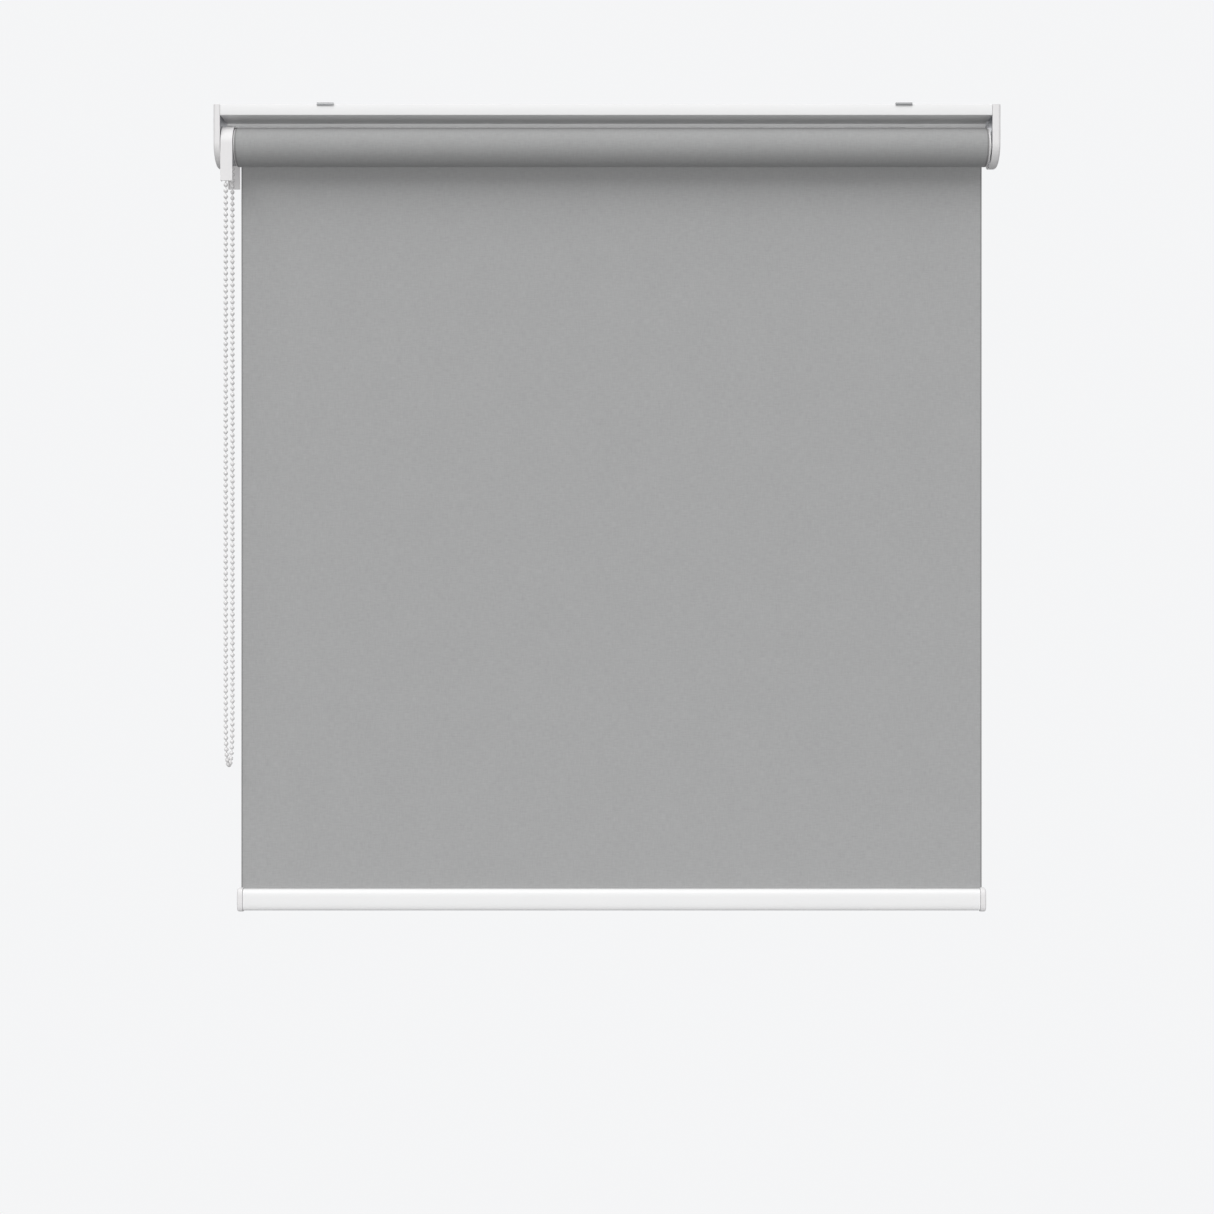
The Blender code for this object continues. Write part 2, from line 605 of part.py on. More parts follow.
def make_bracket(side, outward, end, rim, plate_face):
    """A plate, its cover and the two screws between them, for one end of the blind."""
    kind = {"left": "control", "right": "idle"}[side]
    plate_back = plate_face + outward * PLATE_THICKNESS
    plate = extruded(
        f"{kind}_bracket_plate", [bracket_outline(COVER_WALL + GAP)],
        *span(plate_face, plate_back),
    )  # fmt: skip
    tongue_low = RAIL_UNDER + RAIL_WALL + GAP
    tongue_end = rim - outward * TONGUE_LENGTH
    tongue = box(
        f"{kind}_tongue",
        (min(plate_face + outward * LAP, tongue_end), TONGUE_FRONT, tongue_low),
        (max(plate_face + outward * LAP, tongue_end), TONGUE_BACK,
         tongue_low + TONGUE_THICKNESS),
    )  # fmt: skip
    join(plate, tongue)
    threaded = turned_upright(
        f"{kind}_tongue_hole",
        [(VALLEY_FLOOR, 0.0), (VALLEY_FLOOR, RAIL_SHANK_RADIUS + GAP),
         (RAIL_UNDER + RAIL_WALL, RAIL_SHANK_RADIUS + GAP),
         (RAIL_UNDER + RAIL_WALL, 0.0)],
        RAIL_SCREW_PLACES[side],
    )  # fmt: skip
    cut(plate, threaded)

    cover = extruded(f"{kind}_bracket_cover", [bracket_outline(0.0)], *span(end, rim))
    round_edges(
        cover,
        lambda a, b: abs(a.x - end) < 1e-5
        and abs(b.x - end) < 1e-5
        and min(a.z, b.z) < RAIL_TOP - 1e-5,
        COVER_EDGE,
        4,
    )
    wall_face = end - outward * COVER_WALL
    pocket = extruded(
        f"{kind}_cover_pocket", [bracket_outline(COVER_WALL)],
        *span(wall_face, rim - outward * CUT),
    )  # fmt: skip
    cut(cover, pocket)

    for place, y in COVER_SCREW_PLACES.items():
        z = AXIS_Z + COVER_SCREW_RISE
        name = f"{kind}_cover_screw_{place}"
        bore = SMALL_SHANK_RADIUS + GAP
        boss_end = plate_back + outward * GAP
        boss = turned(
            f"{name}_boss",
            [(boss_end, bore), (boss_end, bore + BOSS_WALL),
             (wall_face + outward * LAP, bore + BOSS_WALL),
             (wall_face + outward * LAP, bore)],
            y, z, SMALL_ROUND,
        )  # fmt: skip
        join(cover, boss)
        lead = plate_face - outward * CUT
        sunk = cover_screw_profile(plate_face, outward, PLATE_THICKNESS + CUT, GAP)
        sink = turned(
            f"{name}_sink",
            [(lead, 0.0), (lead, COUNTERSUNK_RADIUS + GAP), *sunk],
            y, z, SMALL_ROUND,
        )  # fmt: skip
        cut(plate, sink)
        face = plate_face + outward * COUNTERSUNK_RECESS
        profile = cover_screw_profile(face, outward, COVER_SCREW_LENGTH)
        screw = turned(name, [(face, 0.0), *profile], y, z, SMALL_ROUND)
        reach = COUNTERSUNK_RADIUS * DRIVE_SLOT_SHARE
        slot = box(
            f"{name}_slot",
            (face - DRIVE_SLOT_DEPTH, y - reach, z - DRIVE_SLOT_WIDTH / 2),
            (face + DRIVE_SLOT_DEPTH, y + reach, z + DRIVE_SLOT_WIDTH / 2),
        )
        cut(screw, slot)
        keep(screw, ZINC, CEILING)
    keep(plate, ZINC, CEILING)
    keep(cover, WHITE_PLASTIC, CEILING)
    return plate


def make_rail_screw(side, x):
    """The pan-head screw in the rail's top groove that grips the bracket's tongue."""
    seat = VALLEY_FLOOR + GAP
    top = seat + PAN_HEIGHT
    tip = RAIL_UNDER + RAIL_WALL + GAP
    screw = turned_upright(
        f"rail_screw_{side}",
        [(top, 0.0), (top, PAN_CROWN_RADIUS), (top - PAN_CROWN_HEIGHT, PAN_RADIUS),
         (seat, PAN_RADIUS), (seat, RAIL_SHANK_RADIUS), (tip, RAIL_SHANK_RADIUS),
         (tip, 0.0)],
        x,
    )  # fmt: skip
    reach = PAN_RADIUS * DRIVE_SLOT_SHARE
    slot = box(
        f"rail_screw_{side}_slot",
        (x - reach, VALLEY_MIDDLE - DRIVE_SLOT_WIDTH / 2, top - DRIVE_SLOT_DEPTH),
        (x + reach, VALLEY_MIDDLE + DRIVE_SLOT_WIDTH / 2, top + CUT),
    )
    cut(screw, slot)
    return keep(screw, ZINC, CEILING)


# --- Chain drive --------------------------------------------------------------------------


def square_tool(name, x_low, x_high, side):
    return box(
        name,
        (x_low, -side / 2, AXIS_Z - side / 2),
        (x_high, side / 2, AXIS_Z + side / 2),
    )


def make_chain_guard():
    """Horseshoe channel over the chain wheel, open at its foot and on the roller's side."""
    outer = [(GUARD_RADIUS, -GUARD_DROP), *arc(GUARD_RADIUS, 0, 180, 32),
             (-GUARD_RADIUS, -GUARD_DROP)]  # fmt: skip
    guard = extruded("chain_guard", [outer], GUARD_LEFT, GUARD_RIGHT)
    round_edges(
        guard,
        lambda a, b: abs(a.x - GUARD_RIGHT) < 1e-5 and abs(b.x - GUARD_RIGHT) < 1e-5,
        GUARD_EDGE,
        2,
    )
    inner_radius = GUARD_RADIUS - GUARD_WALL
    cheek = GUARD_LEFT + GUARD_WALL
    inner = [(inner_radius, -GUARD_DROP - CUT), *arc(inner_radius, 0, 180, 32),
             (-inner_radius, -GUARD_DROP - CUT)]  # fmt: skip
    cut(guard, extruded("guard_channel", [inner], cheek, GUARD_RIGHT + CUT))
    leg = inner_radius - CHEEK_LEG
    mouth = box(
        "guard_mouth",
        (GUARD_LEFT - CUT, -leg, AXIS_Z - GUARD_DROP - 2 * CUT),
        (cheek + CUT, leg, AXIS_Z - CHEEK_DROP),
    )
    cut(guard, mouth)
    square = SPIGOT_SIDE + 2 * GAP
    cut(guard, square_tool("guard_spigot_hole", GUARD_LEFT - CUT, cheek + CUT, square))
    return keep(guard, WHITE_PLASTIC, CEILING)


def make_control_hub():
    """The fixed spindle: a square spigot in the plate, then a round bearing for the wheel, the
    springs and the sleeve."""
    groove = HUB_RADIUS - HUB_GROOVE
    hub = turned(
        "control_hub",
        [(HUB_RIGHT, 0.0), (HUB_RIGHT, HUB_RADIUS - CHAMFER),
         (HUB_RIGHT - CHAMFER, HUB_RADIUS),
         (RETAINER_LEFT + RETAINER_THICKNESS + RETAINER_PLAY, HUB_RADIUS),
         (RETAINER_LEFT + RETAINER_THICKNESS + RETAINER_PLAY, groove),
         (RETAINER_LEFT - RETAINER_PLAY, groove), (RETAINER_LEFT - RETAINER_PLAY, HUB_RADIUS),
         (HUB_LEFT, HUB_RADIUS), (HUB_LEFT, 0.0)],
        steps=32,
    )  # fmt: skip
    spigot_end = LEFT_PLATE_FACE - PLATE_THICKNESS + GAP
    join(hub, square_tool("hub_spigot", spigot_end, HUB_LEFT + LAP, SPIGOT_SIDE))
    bore_end = spigot_end + HUB_SCREW_REACH + HUB_SCREW_TIP_PLAY
    bore = turned(
        "hub_bore",
        [(spigot_end - CUT, 0.0), (spigot_end - CUT, HUB_BORE_RADIUS),
         (bore_end, HUB_BORE_RADIUS), (bore_end, 0.0)],
        steps=SMALL_ROUND,
    )  # fmt: skip
    cut(hub, bore)
    return keep(hub, GREY_PLASTIC, CEILING)


def make_hub_screw():
    seat = LEFT_PLATE_FACE - PLATE_THICKNESS - GAP
    head = seat - HUB_SCREW_HEAD
    tip = seat + HUB_SCREW_REACH
    shank = HUB_BORE_RADIUS - GAP
    screw = turned(
        "hub_screw",
        [(tip, 0.0), (tip, shank), (seat, shank), (seat, HUB_SCREW_RADIUS),
         (head + CHAMFER, HUB_SCREW_RADIUS), (head, HUB_SCREW_RADIUS - 2 * CHAMFER),
         (head, 0.0)],
        steps=SMALL_ROUND,
    )  # fmt: skip
    reach = HUB_SCREW_RADIUS * DRIVE_SLOT_SHARE
    slot = box(
        "hub_screw_slot",
        (head - CUT, -reach, AXIS_Z - DRIVE_SLOT_WIDTH / 2),
        (head + DRIVE_SLOT_DEPTH, reach, AXIS_Z + DRIVE_SLOT_WIDTH / 2),
    )
    cut(screw, slot)
    return keep(screw, ZINC, CEILING)


def make_hub_retaining_clip():
    """Open ring in the hub's end groove, which keeps the sleeve on."""
    inner = HUB_RADIUS - HUB_GROOVE + GAP
    ring = extruded(
        "hub_retaining_clip", [sector(inner, RETAINER_RADIUS, 90, 290, 24)],
        RETAINER_LEFT, RETAINER_LEFT + RETAINER_THICKNESS,
    )  # fmt: skip
    return keep(ring, STEEL, CEILING)


def make_chain_wheel():
    """Grooved wheel with a pocket for each bead, and a nose whose finger drives the springs."""
    rim = CHAIN_PITCH_RADIUS + WHEEL_RIM
    floor = CHAIN_PITCH_RADIUS - CHAIN_GROOVE
    groove_left, groove_right = CHAIN_X - CHAIN_GROOVE, CHAIN_X + CHAIN_GROOVE
    right = WHEEL_RIGHT
    wheel = turned(
        "chain_wheel",
        [(NOSE_END, NOSE_RADIUS), (right, NOSE_RADIUS), (right, rim - CHAMFER),
         (right - CHAMFER, rim), (groove_right, rim), (groove_right, floor),
         (groove_left, floor), (groove_left, rim), (HUB_LEFT, rim),
         (HUB_LEFT, HUB_CLEAR), (NOSE_END, HUB_CLEAR)],
    )  # fmt: skip
    finger = extruded(
        "wheel_finger", [sector(FINGER_INNER, FINGER_OUTER, 90, FINGER_SPAN)],
        NOSE_END - LAP, SLEEVE_WALL_LEFT - FINGER_END_PLAY,
    )  # fmt: skip
    join(wheel, finger)
    pocket_radius = BEAD_DIAMETER / 2 + POCKET_CLEARANCE
    pockets = bpy.data.meshes.new("wheel_pockets")
    shape = bmesh.new()
    for i in range(WHEEL_POCKETS):
        turn = 2 * math.pi * i / WHEEL_POCKETS
        ball = bmesh.ops.create_uvsphere(
            shape, u_segments=10, v_segments=6, radius=pocket_radius
        )
        bmesh.ops.translate(
            shape,
            verts=ball["verts"],
            vec=(0.0, CHAIN_PITCH_RADIUS * math.cos(turn), CHAIN_PITCH_RADIUS * math.sin(turn)),
        )
    shape.to_mesh(pockets)
    shape.free()
    tool = bpy.data.objects.new("wheel_pockets", pockets)
    tool.location = (CHAIN_X, 0.0, AXIS_Z)
    bpy.context.scene.collection.objects.link(tool)
    cut(wheel, tool)
    return keep(wheel, GREY_PLASTIC, WHEEL_AXIS)


def make_wrap_spring(number):
    """Close-wound spring that grips the hub until the finger or the rib opens it."""
    radius = HUB_CLEAR + SPRING_WIRE / 2
    start = SPRINGS_LEFT + SPRING_SPACING * (number - 1)
    per_turn = 12
    points = []
    for i in range(SPRING_TURNS * per_turn + 1):
        angle = 2 * math.pi * i / per_turn
        along = start + SPRING_PITCH * i / per_turn
        points.append((along, radius * math.cos(angle), AXIS_Z + radius * math.sin(angle)))
    tang = FINGER_INNER + TANG_RISE
    points.insert(0, (start, tang, AXIS_Z))
    points.append((points[-1][0], tang, AXIS_Z))
    piece = wire(f"wrap_spring_{number}", points, SPRING_WIRE / 2)
    return keep(piece, STEEL, WHEEL_AXIS)


def key_notch(name, x_low, x_high):
    """Cutter for the notch that takes the tube's inner bulge."""
    half = BULGE_WIDTH / 2 + GAP
    return box(
        name,
        (x_low, -half, AXIS_Z + BULGE_TOP - GAP),
        (x_high, half, AXIS_Z + TUBE_RADIUS),
    )


def make_drive_sleeve():
    outer = TUBE_BORE - GAP
    flange_left = CLOTH_LEFT - GAP - FLANGE_THIN
    socket = NOSE_RADIUS + GAP
    socket_end = NOSE_END + 2 * GAP
    sleeve = turned(
        "drive_sleeve",
        [(SLEEVE_RIGHT, outer - CHAMFER), (SLEEVE_RIGHT - CHAMFER, outer),
         (CLOTH_LEFT - GAP, outer), (CLOTH_LEFT - GAP, FLANGE_RADIUS),
         (flange_left, FLANGE_RADIUS), (flange_left, socket), (socket_end, socket),
         (socket_end, CHAMBER_RADIUS), (SLEEVE_WALL_LEFT, CHAMBER_RADIUS),
         (SLEEVE_WALL_LEFT, HUB_CLEAR), (SLEEVE_RIGHT, HUB_CLEAR)],
    )  # fmt: skip
    rib = extruded(
        "sleeve_rib", [sector(FINGER_INNER, CHAMBER_RADIUS + LAP, 270, RIB_SPAN)],
        socket_end, SLEEVE_WALL_LEFT + LAP,
    )  # fmt: skip
    join(sleeve, rib)
    cut(sleeve, key_notch("sleeve_notch", CLOTH_LEFT - GAP, SLEEVE_RIGHT + CUT))
    return keep(sleeve, GREY_PLASTIC, ROLLER_AXIS)


# --- Roller -------------------------------------------------------------------------------


def keyed_circle(radius, half, level):
    """A circle whose top is stepped in to a flat of the given half width and level."""
    side = math.degrees(math.acos(half / radius))
    return [
        *arc(radius, 180 - side, 360 + side, ROUND),
        (half, level),
        (-half, level),
    ]


def make_roller_tube():
    outer = keyed_circle(TUBE_RADIUS, KEYWAY_WIDTH / 2, KEYWAY_FLOOR)
    inner = keyed_circle(TUBE_BORE, BULGE_WIDTH / 2, BULGE_TOP)
    tube = extruded("roller_tube", [outer, inner], CLOTH_LEFT, CLOTH_RIGHT)
    return keep(tube, ALUMINIUM, ROLLER_AXIS)


def make_tube_strip():
    """Strip in the tube's keyway that holds the cloth's upper edge."""
    strip = box(
        "tube_strip",
        (CLOTH_LEFT + STRIP_INSET, -KEYWAY_WIDTH / 2 + GAP, AXIS_Z + KEYWAY_FLOOR + GAP),
        (CLOTH_RIGHT - STRIP_INSET, KEYWAY_WIDTH / 2 - GAP,
         AXIS_Z + TUBE_RADIUS - STRIP_RECESS),
    )
    return keep(strip, WHITE_PLASTIC, ROLLER_AXIS)


def make_fabric_roll():
    inner = TUBE_RADIUS + GAP
    roll = turned(
        "fabric_roll",
        [(CLOTH_RIGHT, ROLL_RADIUS), (CLOTH_LEFT, ROLL_RADIUS),
         (CLOTH_LEFT, inner), (CLOTH_RIGHT, inner)],
        steps=64,
    )  # fmt: skip
    return keep(roll, CLOTH, ROLLER_AXIS)


def make_idle_plug():
    outer = TUBE_BORE - GAP
    flange_left = PLUG_FACE - FLANGE_THICK
    bore = PIN_RADIUS + GAP
    bush_seat = PLUG_FACE - BUSH_LENGTH - 2 * GAP
    plug = turned(
        "idle_plug",
        [(BORE_FLOOR, 0.0), (BORE_FLOOR, bore), (bush_seat, bore),
         (bush_seat, BUSH_RADIUS + GAP), (PLUG_FACE, BUSH_RADIUS + GAP),
         (PLUG_FACE, FLANGE_RADIUS - CHAMFER), (PLUG_FACE - CHAMFER, FLANGE_RADIUS),
         (flange_left, FLANGE_RADIUS), (flange_left, outer), (PLUG_LEFT + CHAMFER, outer),
         (PLUG_LEFT, outer - CHAMFER), (PLUG_LEFT, 0.0)],
    )  # fmt: skip
    cut(plug, key_notch("plug_notch", PLUG_LEFT - CUT, flange_left))
    return keep(plug, WHITE_PLASTIC, ROLLER_AXIS)


def make_idle_bush():
    bush = turned(
        "idle_bush",
        [(PLUG_FACE - GAP, BUSH_RADIUS), (PLUG_FACE - GAP - BUSH_LENGTH, BUSH_RADIUS),
         (PLUG_FACE - GAP - BUSH_LENGTH, PIN_RADIUS + GAP),
         (PLUG_FACE - GAP, PIN_RADIUS + GAP)],
        steps=32,
    )  # fmt: skip
    return keep(bush, GREY_PLASTIC, ROLLER_AXIS)


def make_idle_pin():
    pin = turned(
        "idle_pin",
        [(PIN_TIP, 0.0), (PIN_TIP, PIN_RADIUS - PIN_CHAMFER),
         (PIN_TIP - PIN_CHAMFER, PIN_RADIUS),
         (PIN_TAIL, PIN_RADIUS), (PIN_TAIL, 0.0)],
        steps=32,
    )  # fmt: skip
    return keep(pin, STEEL, PIN_AXIS)


def make_idle_spring():
    radius = PIN_RADIUS - PIN_SPRING_WIRE
    start = BORE_FLOOR + GAP + PIN_SPRING_WIRE / 2
    length = PIN_SPRING_LENGTH - PIN_SPRING_WIRE
    per_turn = 10
    count = PIN_SPRING_TURNS * per_turn
    points = []
    for i in range(count + 1):
        angle = 2 * math.pi * i / per_turn
        points.append((
            start + length * i / count,
            radius * math.cos(angle),
            AXIS_Z + radius * math.sin(angle),
        ))  # fmt: skip
    return keep(wire("idle_spring", points, PIN_SPRING_WIRE / 2), STEEL, ROLLER_AXIS)


def make_idle_socket():
    """Moulded socket in the idle plate, where the pin's end turns."""
    flange_face = RIGHT_PLATE_FACE - GAP - SOCKET_FLANGE
    end = RIGHT_PLATE_FACE + SOCKET_REACH
    bore = PIN_RADIUS + GAP
    socket = turned(
        "idle_socket",
        [(end, 0.0), (end, SOCKET_RADIUS), (RIGHT_PLATE_FACE - GAP, SOCKET_RADIUS),
         (RIGHT_PLATE_FACE - GAP, SOCKET_FLANGE_RADIUS), (flange_face, SOCKET_FLANGE_RADIUS),
         (flange_face, bore), (end - SOCKET_FLOOR, bore), (end - SOCKET_FLOOR, 0.0)],
        steps=32,
    )  # fmt: skip
    return keep(socket, WHITE_PLASTIC, CEILING)


# --- Cloth and bottom bar -----------------------------------------------------------------


def make_fabric_drop():
    """The hanging cloth, from the back of the roll down into the bar's slot."""
    sheet = box(
        "fabric_drop",
        (CLOTH_LEFT, CLOTH_FRONT, CLOTH_FOOT),
        (CLOTH_RIGHT, CLOTH_FRONT + CLOTH_THICKNESS, AXIS_Z),
    )
    return keep(sheet, CLOTH, CEILING)


def lower_cavity(spare, steps):
    """Outline of the bar's lower hollow, less a clearance, as (y, z) from its middle."""
    depth = BAR_DEPTH / 2 - BAR_WALL - spare
    height = BAR_HEIGHT / 2 - BAR_WALL - spare
    level = HOLLOW_TOP - spare
    start = flat_oval_angle(level / height)
    return flat_oval(depth, height, 180 - start, 360 + start, steps)


def make_bottom_bar():
    """Flattened oval extrusion: a slot and a round chamber for the cloth's spline above a web,
    and a hollow below it."""
    half_slot = BAR_SLOT / 2
    lip = 90 - flat_oval_angle(half_slot / (BAR_DEPTH / 2))
    mouth = math.degrees(math.acos(half_slot / SPLINE_CHAMBER))
    outer = [
        *flat_oval(BAR_DEPTH / 2, BAR_HEIGHT / 2, 180 - lip, 360 + lip, 56),
        *arc(SPLINE_CHAMBER, mouth, -180 - mouth, 14, (0.0, SPLINE_RISE)),
    ]
    bar = extruded(
        "bottom_bar", [outer, lower_cavity(0.0, 32)], BAR_LEFT, BAR_RIGHT, BAR_Y, BAR_Z
    )
    return keep(bar, WHITE_METAL, BAR_FRAME)


def make_bar_spline():
    spline = turned(
        "bar_spline",
        [(BAR_RIGHT - SPLINE_INSET, 0.0), (BAR_RIGHT - SPLINE_INSET, SPLINE_RADIUS),
         (BAR_LEFT + SPLINE_INSET, SPLINE_RADIUS), (BAR_LEFT + SPLINE_INSET, 0.0)],
        BAR_Y, BAR_Z + SPLINE_RISE, 16,
    )  # fmt: skip
    return keep(spline, WHITE_PLASTIC, BAR_FRAME)


def make_bar_cap(side, outward, bar_end):
    """Lens-shaped end cap with a tongue in the bar's hollow and a slit for the cloth."""
    inner = bar_end + outward * GAP
    outer = inner + outward * CAP_THICKNESS
    name = f"bar_cap_{side}"
    rim = flat_oval(BAR_DEPTH / 2 + CAP_PROUD, BAR_HEIGHT / 2 + CAP_PROUD, 0, 360, 48)[:-1]
    cap = extruded(name, [rim], *span(inner, outer), BAR_Y, BAR_Z)
    round_edges(
        cap,
        lambda a, b: abs(a.x - outer) < 1e-5 and abs(b.x - outer) < 1e-5,
        CAP_EDGE,
        3,
    )
    tongue = extruded(
        f"{name}_tongue", [lower_cavity(GAP, 20)],
        *span(inner - outward * CAP_TONGUE, inner + outward * LAP), BAR_Y, BAR_Z,
    )  # fmt: skip
    join(cap, tongue)
    half = CLOTH_THICKNESS / 2 + GAP
    slit_low, slit_high = span(
        inner - outward * CUT, bar_end + outward * (BAR_INSET + GAP)
    )
    slit = box(
        f"{name}_slit",
        (slit_low, BAR_Y - half, CLOTH_FOOT - GAP),
        (slit_high, BAR_Y + half, BAR_Z + BAR_HEIGHT),
    )
    cut(cap, slit)
    return keep(cap, WHITE_PLASTIC, BAR_FRAME)


# --- Bead chain ---------------------------------------------------------------------------


def make_bead_chain():
    """The free part of the chain loop, below the guard."""
    route = smooth_route(CHAIN_ROUTE, CHAIN_STEPS)
    points = [(CHAIN_X, y, AXIS_Z - below) for y, below in route]
    piece = wire("bead_chain", points, BEAD_DIAMETER / 2)
    return keep(piece, WHITE_PLASTIC, CEILING)


def make_bead_chain_in_guard():
    """The part of the chain loop that the wheel and the guard hold."""
    foot = CHAIN_ROUTE[0][1] - GAP
    straight = [foot * (1 - i / 3) for i in range(3)]
    radius = CHAIN_PITCH_RADIUS
    points = [(CHAIN_X, -radius, AXIS_Z - below) for below in straight]
    points += [(CHAIN_X, y, AXIS_Z + z) for y, z in arc(radius, 180, 0, 18)]
    points += [(CHAIN_X, radius, AXIS_Z - below) for below in reversed(straight)]
    piece = wire("bead_chain_in_guard", points, BEAD_DIAMETER / 2)
    return keep(piece, WHITE_PLASTIC, CEILING)


# --- Build --------------------------------------------------------------------------------

for old in list(bpy.data.objects):
    bpy.data.objects.remove(old)

BLIND = new_collection("roller_blind")
CUTTERS = new_collection("cutters")
CUTTERS.hide_render = True

WHITE_METAL = new_material("white_coated_aluminium", (0.86, 0.86, 0.85), 0.42)
WHITE_PLASTIC = new_material("white_plastic", (0.80, 0.80, 0.79), 0.45)
GREY_PLASTIC = new_material("grey_plastic", (0.45, 0.45, 0.46), 0.5)
ALUMINIUM = new_material("mill_aluminium", (0.70, 0.71, 0.72), 0.35, 1.0)
STEEL = new_material("spring_steel", (0.50, 0.51, 0.52), 0.35, 1.0)
ZINC = new_material("zinc_plated_steel", (0.60, 0.61, 0.63), 0.4, 1.0)
CLOTH = new_material("grey_blackout_cloth", (0.33, 0.33, 0.33), 0.85)

CEILING = frame_empty("ceiling_frame", (0.0, 0.0, 0.0))
ROLLER_AXIS = frame_empty("roller_axis", (0.0, 0.0, AXIS_Z))
WHEEL_AXIS = frame_empty("chain_wheel_axis", (CHAIN_X, 0.0, AXIS_Z))
PIN_AXIS = frame_empty("idle_pin_axis", (PIN_TIP, 0.0, AXIS_Z))
BAR_FRAME = frame_empty("bottom_bar_frame", (0.0, BAR_Y, BAR_Z))

make_head_rail()
make_mounting_clip("left", LEFT_END + CLIP_INSET_LEFT)
make_mounting_clip("right", RIGHT_END - CLIP_INSET_RIGHT)
control_plate = make_bracket("left", -1, LEFT_END, LEFT_RIM, LEFT_PLATE_FACE)
idle_plate = make_bracket("right", 1, RIGHT_END, RIGHT_RIM, RIGHT_PLATE_FACE)
cut(
    control_plate,
    square_tool(
        "plate_spigot_hole", LEFT_PLATE_FACE - PLATE_THICKNESS - CUT, LEFT_PLATE_FACE + CUT,
        SPIGOT_SIDE + 2 * GAP,
    ),
)  # fmt: skip
cut(
    idle_plate,
    turned(
        "plate_socket_hole",
        [(RIGHT_PLATE_FACE + PLATE_THICKNESS + CUT, 0.0),
         (RIGHT_PLATE_FACE + PLATE_THICKNESS + CUT, SOCKET_RADIUS + GAP),
         (RIGHT_PLATE_FACE - CUT, SOCKET_RADIUS + GAP), (RIGHT_PLATE_FACE - CUT, 0.0)],
        steps=32,
    ),
)  # fmt: skip
for screw_side, screw_x in RAIL_SCREW_PLACES.items():
    make_rail_screw(screw_side, screw_x)
make_chain_guard()
make_control_hub()
make_hub_screw()
make_hub_retaining_clip()
make_chain_wheel()
for spring_number in (1, 2):
    make_wrap_spring(spring_number)
make_drive_sleeve()
make_roller_tube()
make_tube_strip()
make_fabric_roll()
make_idle_plug()
make_idle_bush()
make_idle_pin()
make_idle_spring()
make_idle_socket()
make_fabric_drop()
make_bottom_bar()
make_bar_spline()
make_bar_cap("left", -1, BAR_LEFT)
make_bar_cap("right", 1, BAR_RIGHT)
make_bead_chain()
make_bead_chain_in_guard()
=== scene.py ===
"""Finished roller blind: coated head rail, moulded brackets, bead chain, wound and hanging cloth.

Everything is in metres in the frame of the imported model: +Z up, -Y towards the room, the
origin on the ceiling plane above the middle of the roll.
"""

import math

import bmesh
import bpy
from bpy.props import FloatProperty, FloatVectorProperty, IntProperty, PointerProperty
from mathutils import Matrix, Vector


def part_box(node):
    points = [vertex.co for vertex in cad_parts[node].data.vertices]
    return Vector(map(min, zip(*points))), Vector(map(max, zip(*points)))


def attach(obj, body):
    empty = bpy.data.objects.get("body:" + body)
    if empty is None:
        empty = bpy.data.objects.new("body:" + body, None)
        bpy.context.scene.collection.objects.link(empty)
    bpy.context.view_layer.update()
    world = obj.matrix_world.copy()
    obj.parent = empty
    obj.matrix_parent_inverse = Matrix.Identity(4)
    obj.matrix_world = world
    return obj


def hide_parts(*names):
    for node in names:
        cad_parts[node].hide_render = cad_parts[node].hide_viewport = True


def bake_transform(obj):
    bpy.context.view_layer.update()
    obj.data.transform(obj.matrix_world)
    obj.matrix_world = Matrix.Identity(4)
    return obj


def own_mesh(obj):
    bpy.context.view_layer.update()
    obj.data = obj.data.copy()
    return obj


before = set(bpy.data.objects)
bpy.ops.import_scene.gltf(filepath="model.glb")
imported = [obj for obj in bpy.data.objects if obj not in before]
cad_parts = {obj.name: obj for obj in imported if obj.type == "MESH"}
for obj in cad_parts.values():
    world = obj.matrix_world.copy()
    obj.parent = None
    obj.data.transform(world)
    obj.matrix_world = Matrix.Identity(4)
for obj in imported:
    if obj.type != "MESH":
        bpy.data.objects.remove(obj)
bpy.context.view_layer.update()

bl_info = {
    "name": "Roller Blind",
    "version": (1, 0, 0),
    "blender": (4, 5, 0),
    "location": "View3D > Sidebar > Roller Blind",
    "description": "Builds the finished pieces and materials of a chain-driven roller blind",
    "category": "Object",
}

ROOT, ROLLER, BAR = "head_rail_frame", "roller", "bottom_bar"

# Places read from the frame
RAIL_LOW, RAIL_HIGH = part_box("head_rail")
GUARD_LOW, GUARD_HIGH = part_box("chain_guard")
TUBE_LOW, TUBE_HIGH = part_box("roller_tube")
DROP_LOW, DROP_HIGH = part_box("fabric_drop")
BAR_LOW, BAR_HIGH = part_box("bottom_bar")
CHAIN_LOW, CHAIN_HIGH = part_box("bead_chain")
SLEEVE_LOW, SLEEVE_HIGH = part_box("drive_sleeve")
PLUG_LOW, PLUG_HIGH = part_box("idle_plug")

AXIS_Z = (TUBE_LOW.z + TUBE_HIGH.z) / 2
TUBE_RADIUS = TUBE_HIGH.y
CHAIN_X = (CHAIN_LOW.x + CHAIN_HIGH.x) / 2
BAR_Y = (BAR_LOW.y + BAR_HIGH.y) / 2
BAR_Z = (BAR_LOW.z + BAR_HIGH.z) / 2
BAR_HALF_DEPTH = (BAR_HIGH.y - BAR_LOW.y) / 2

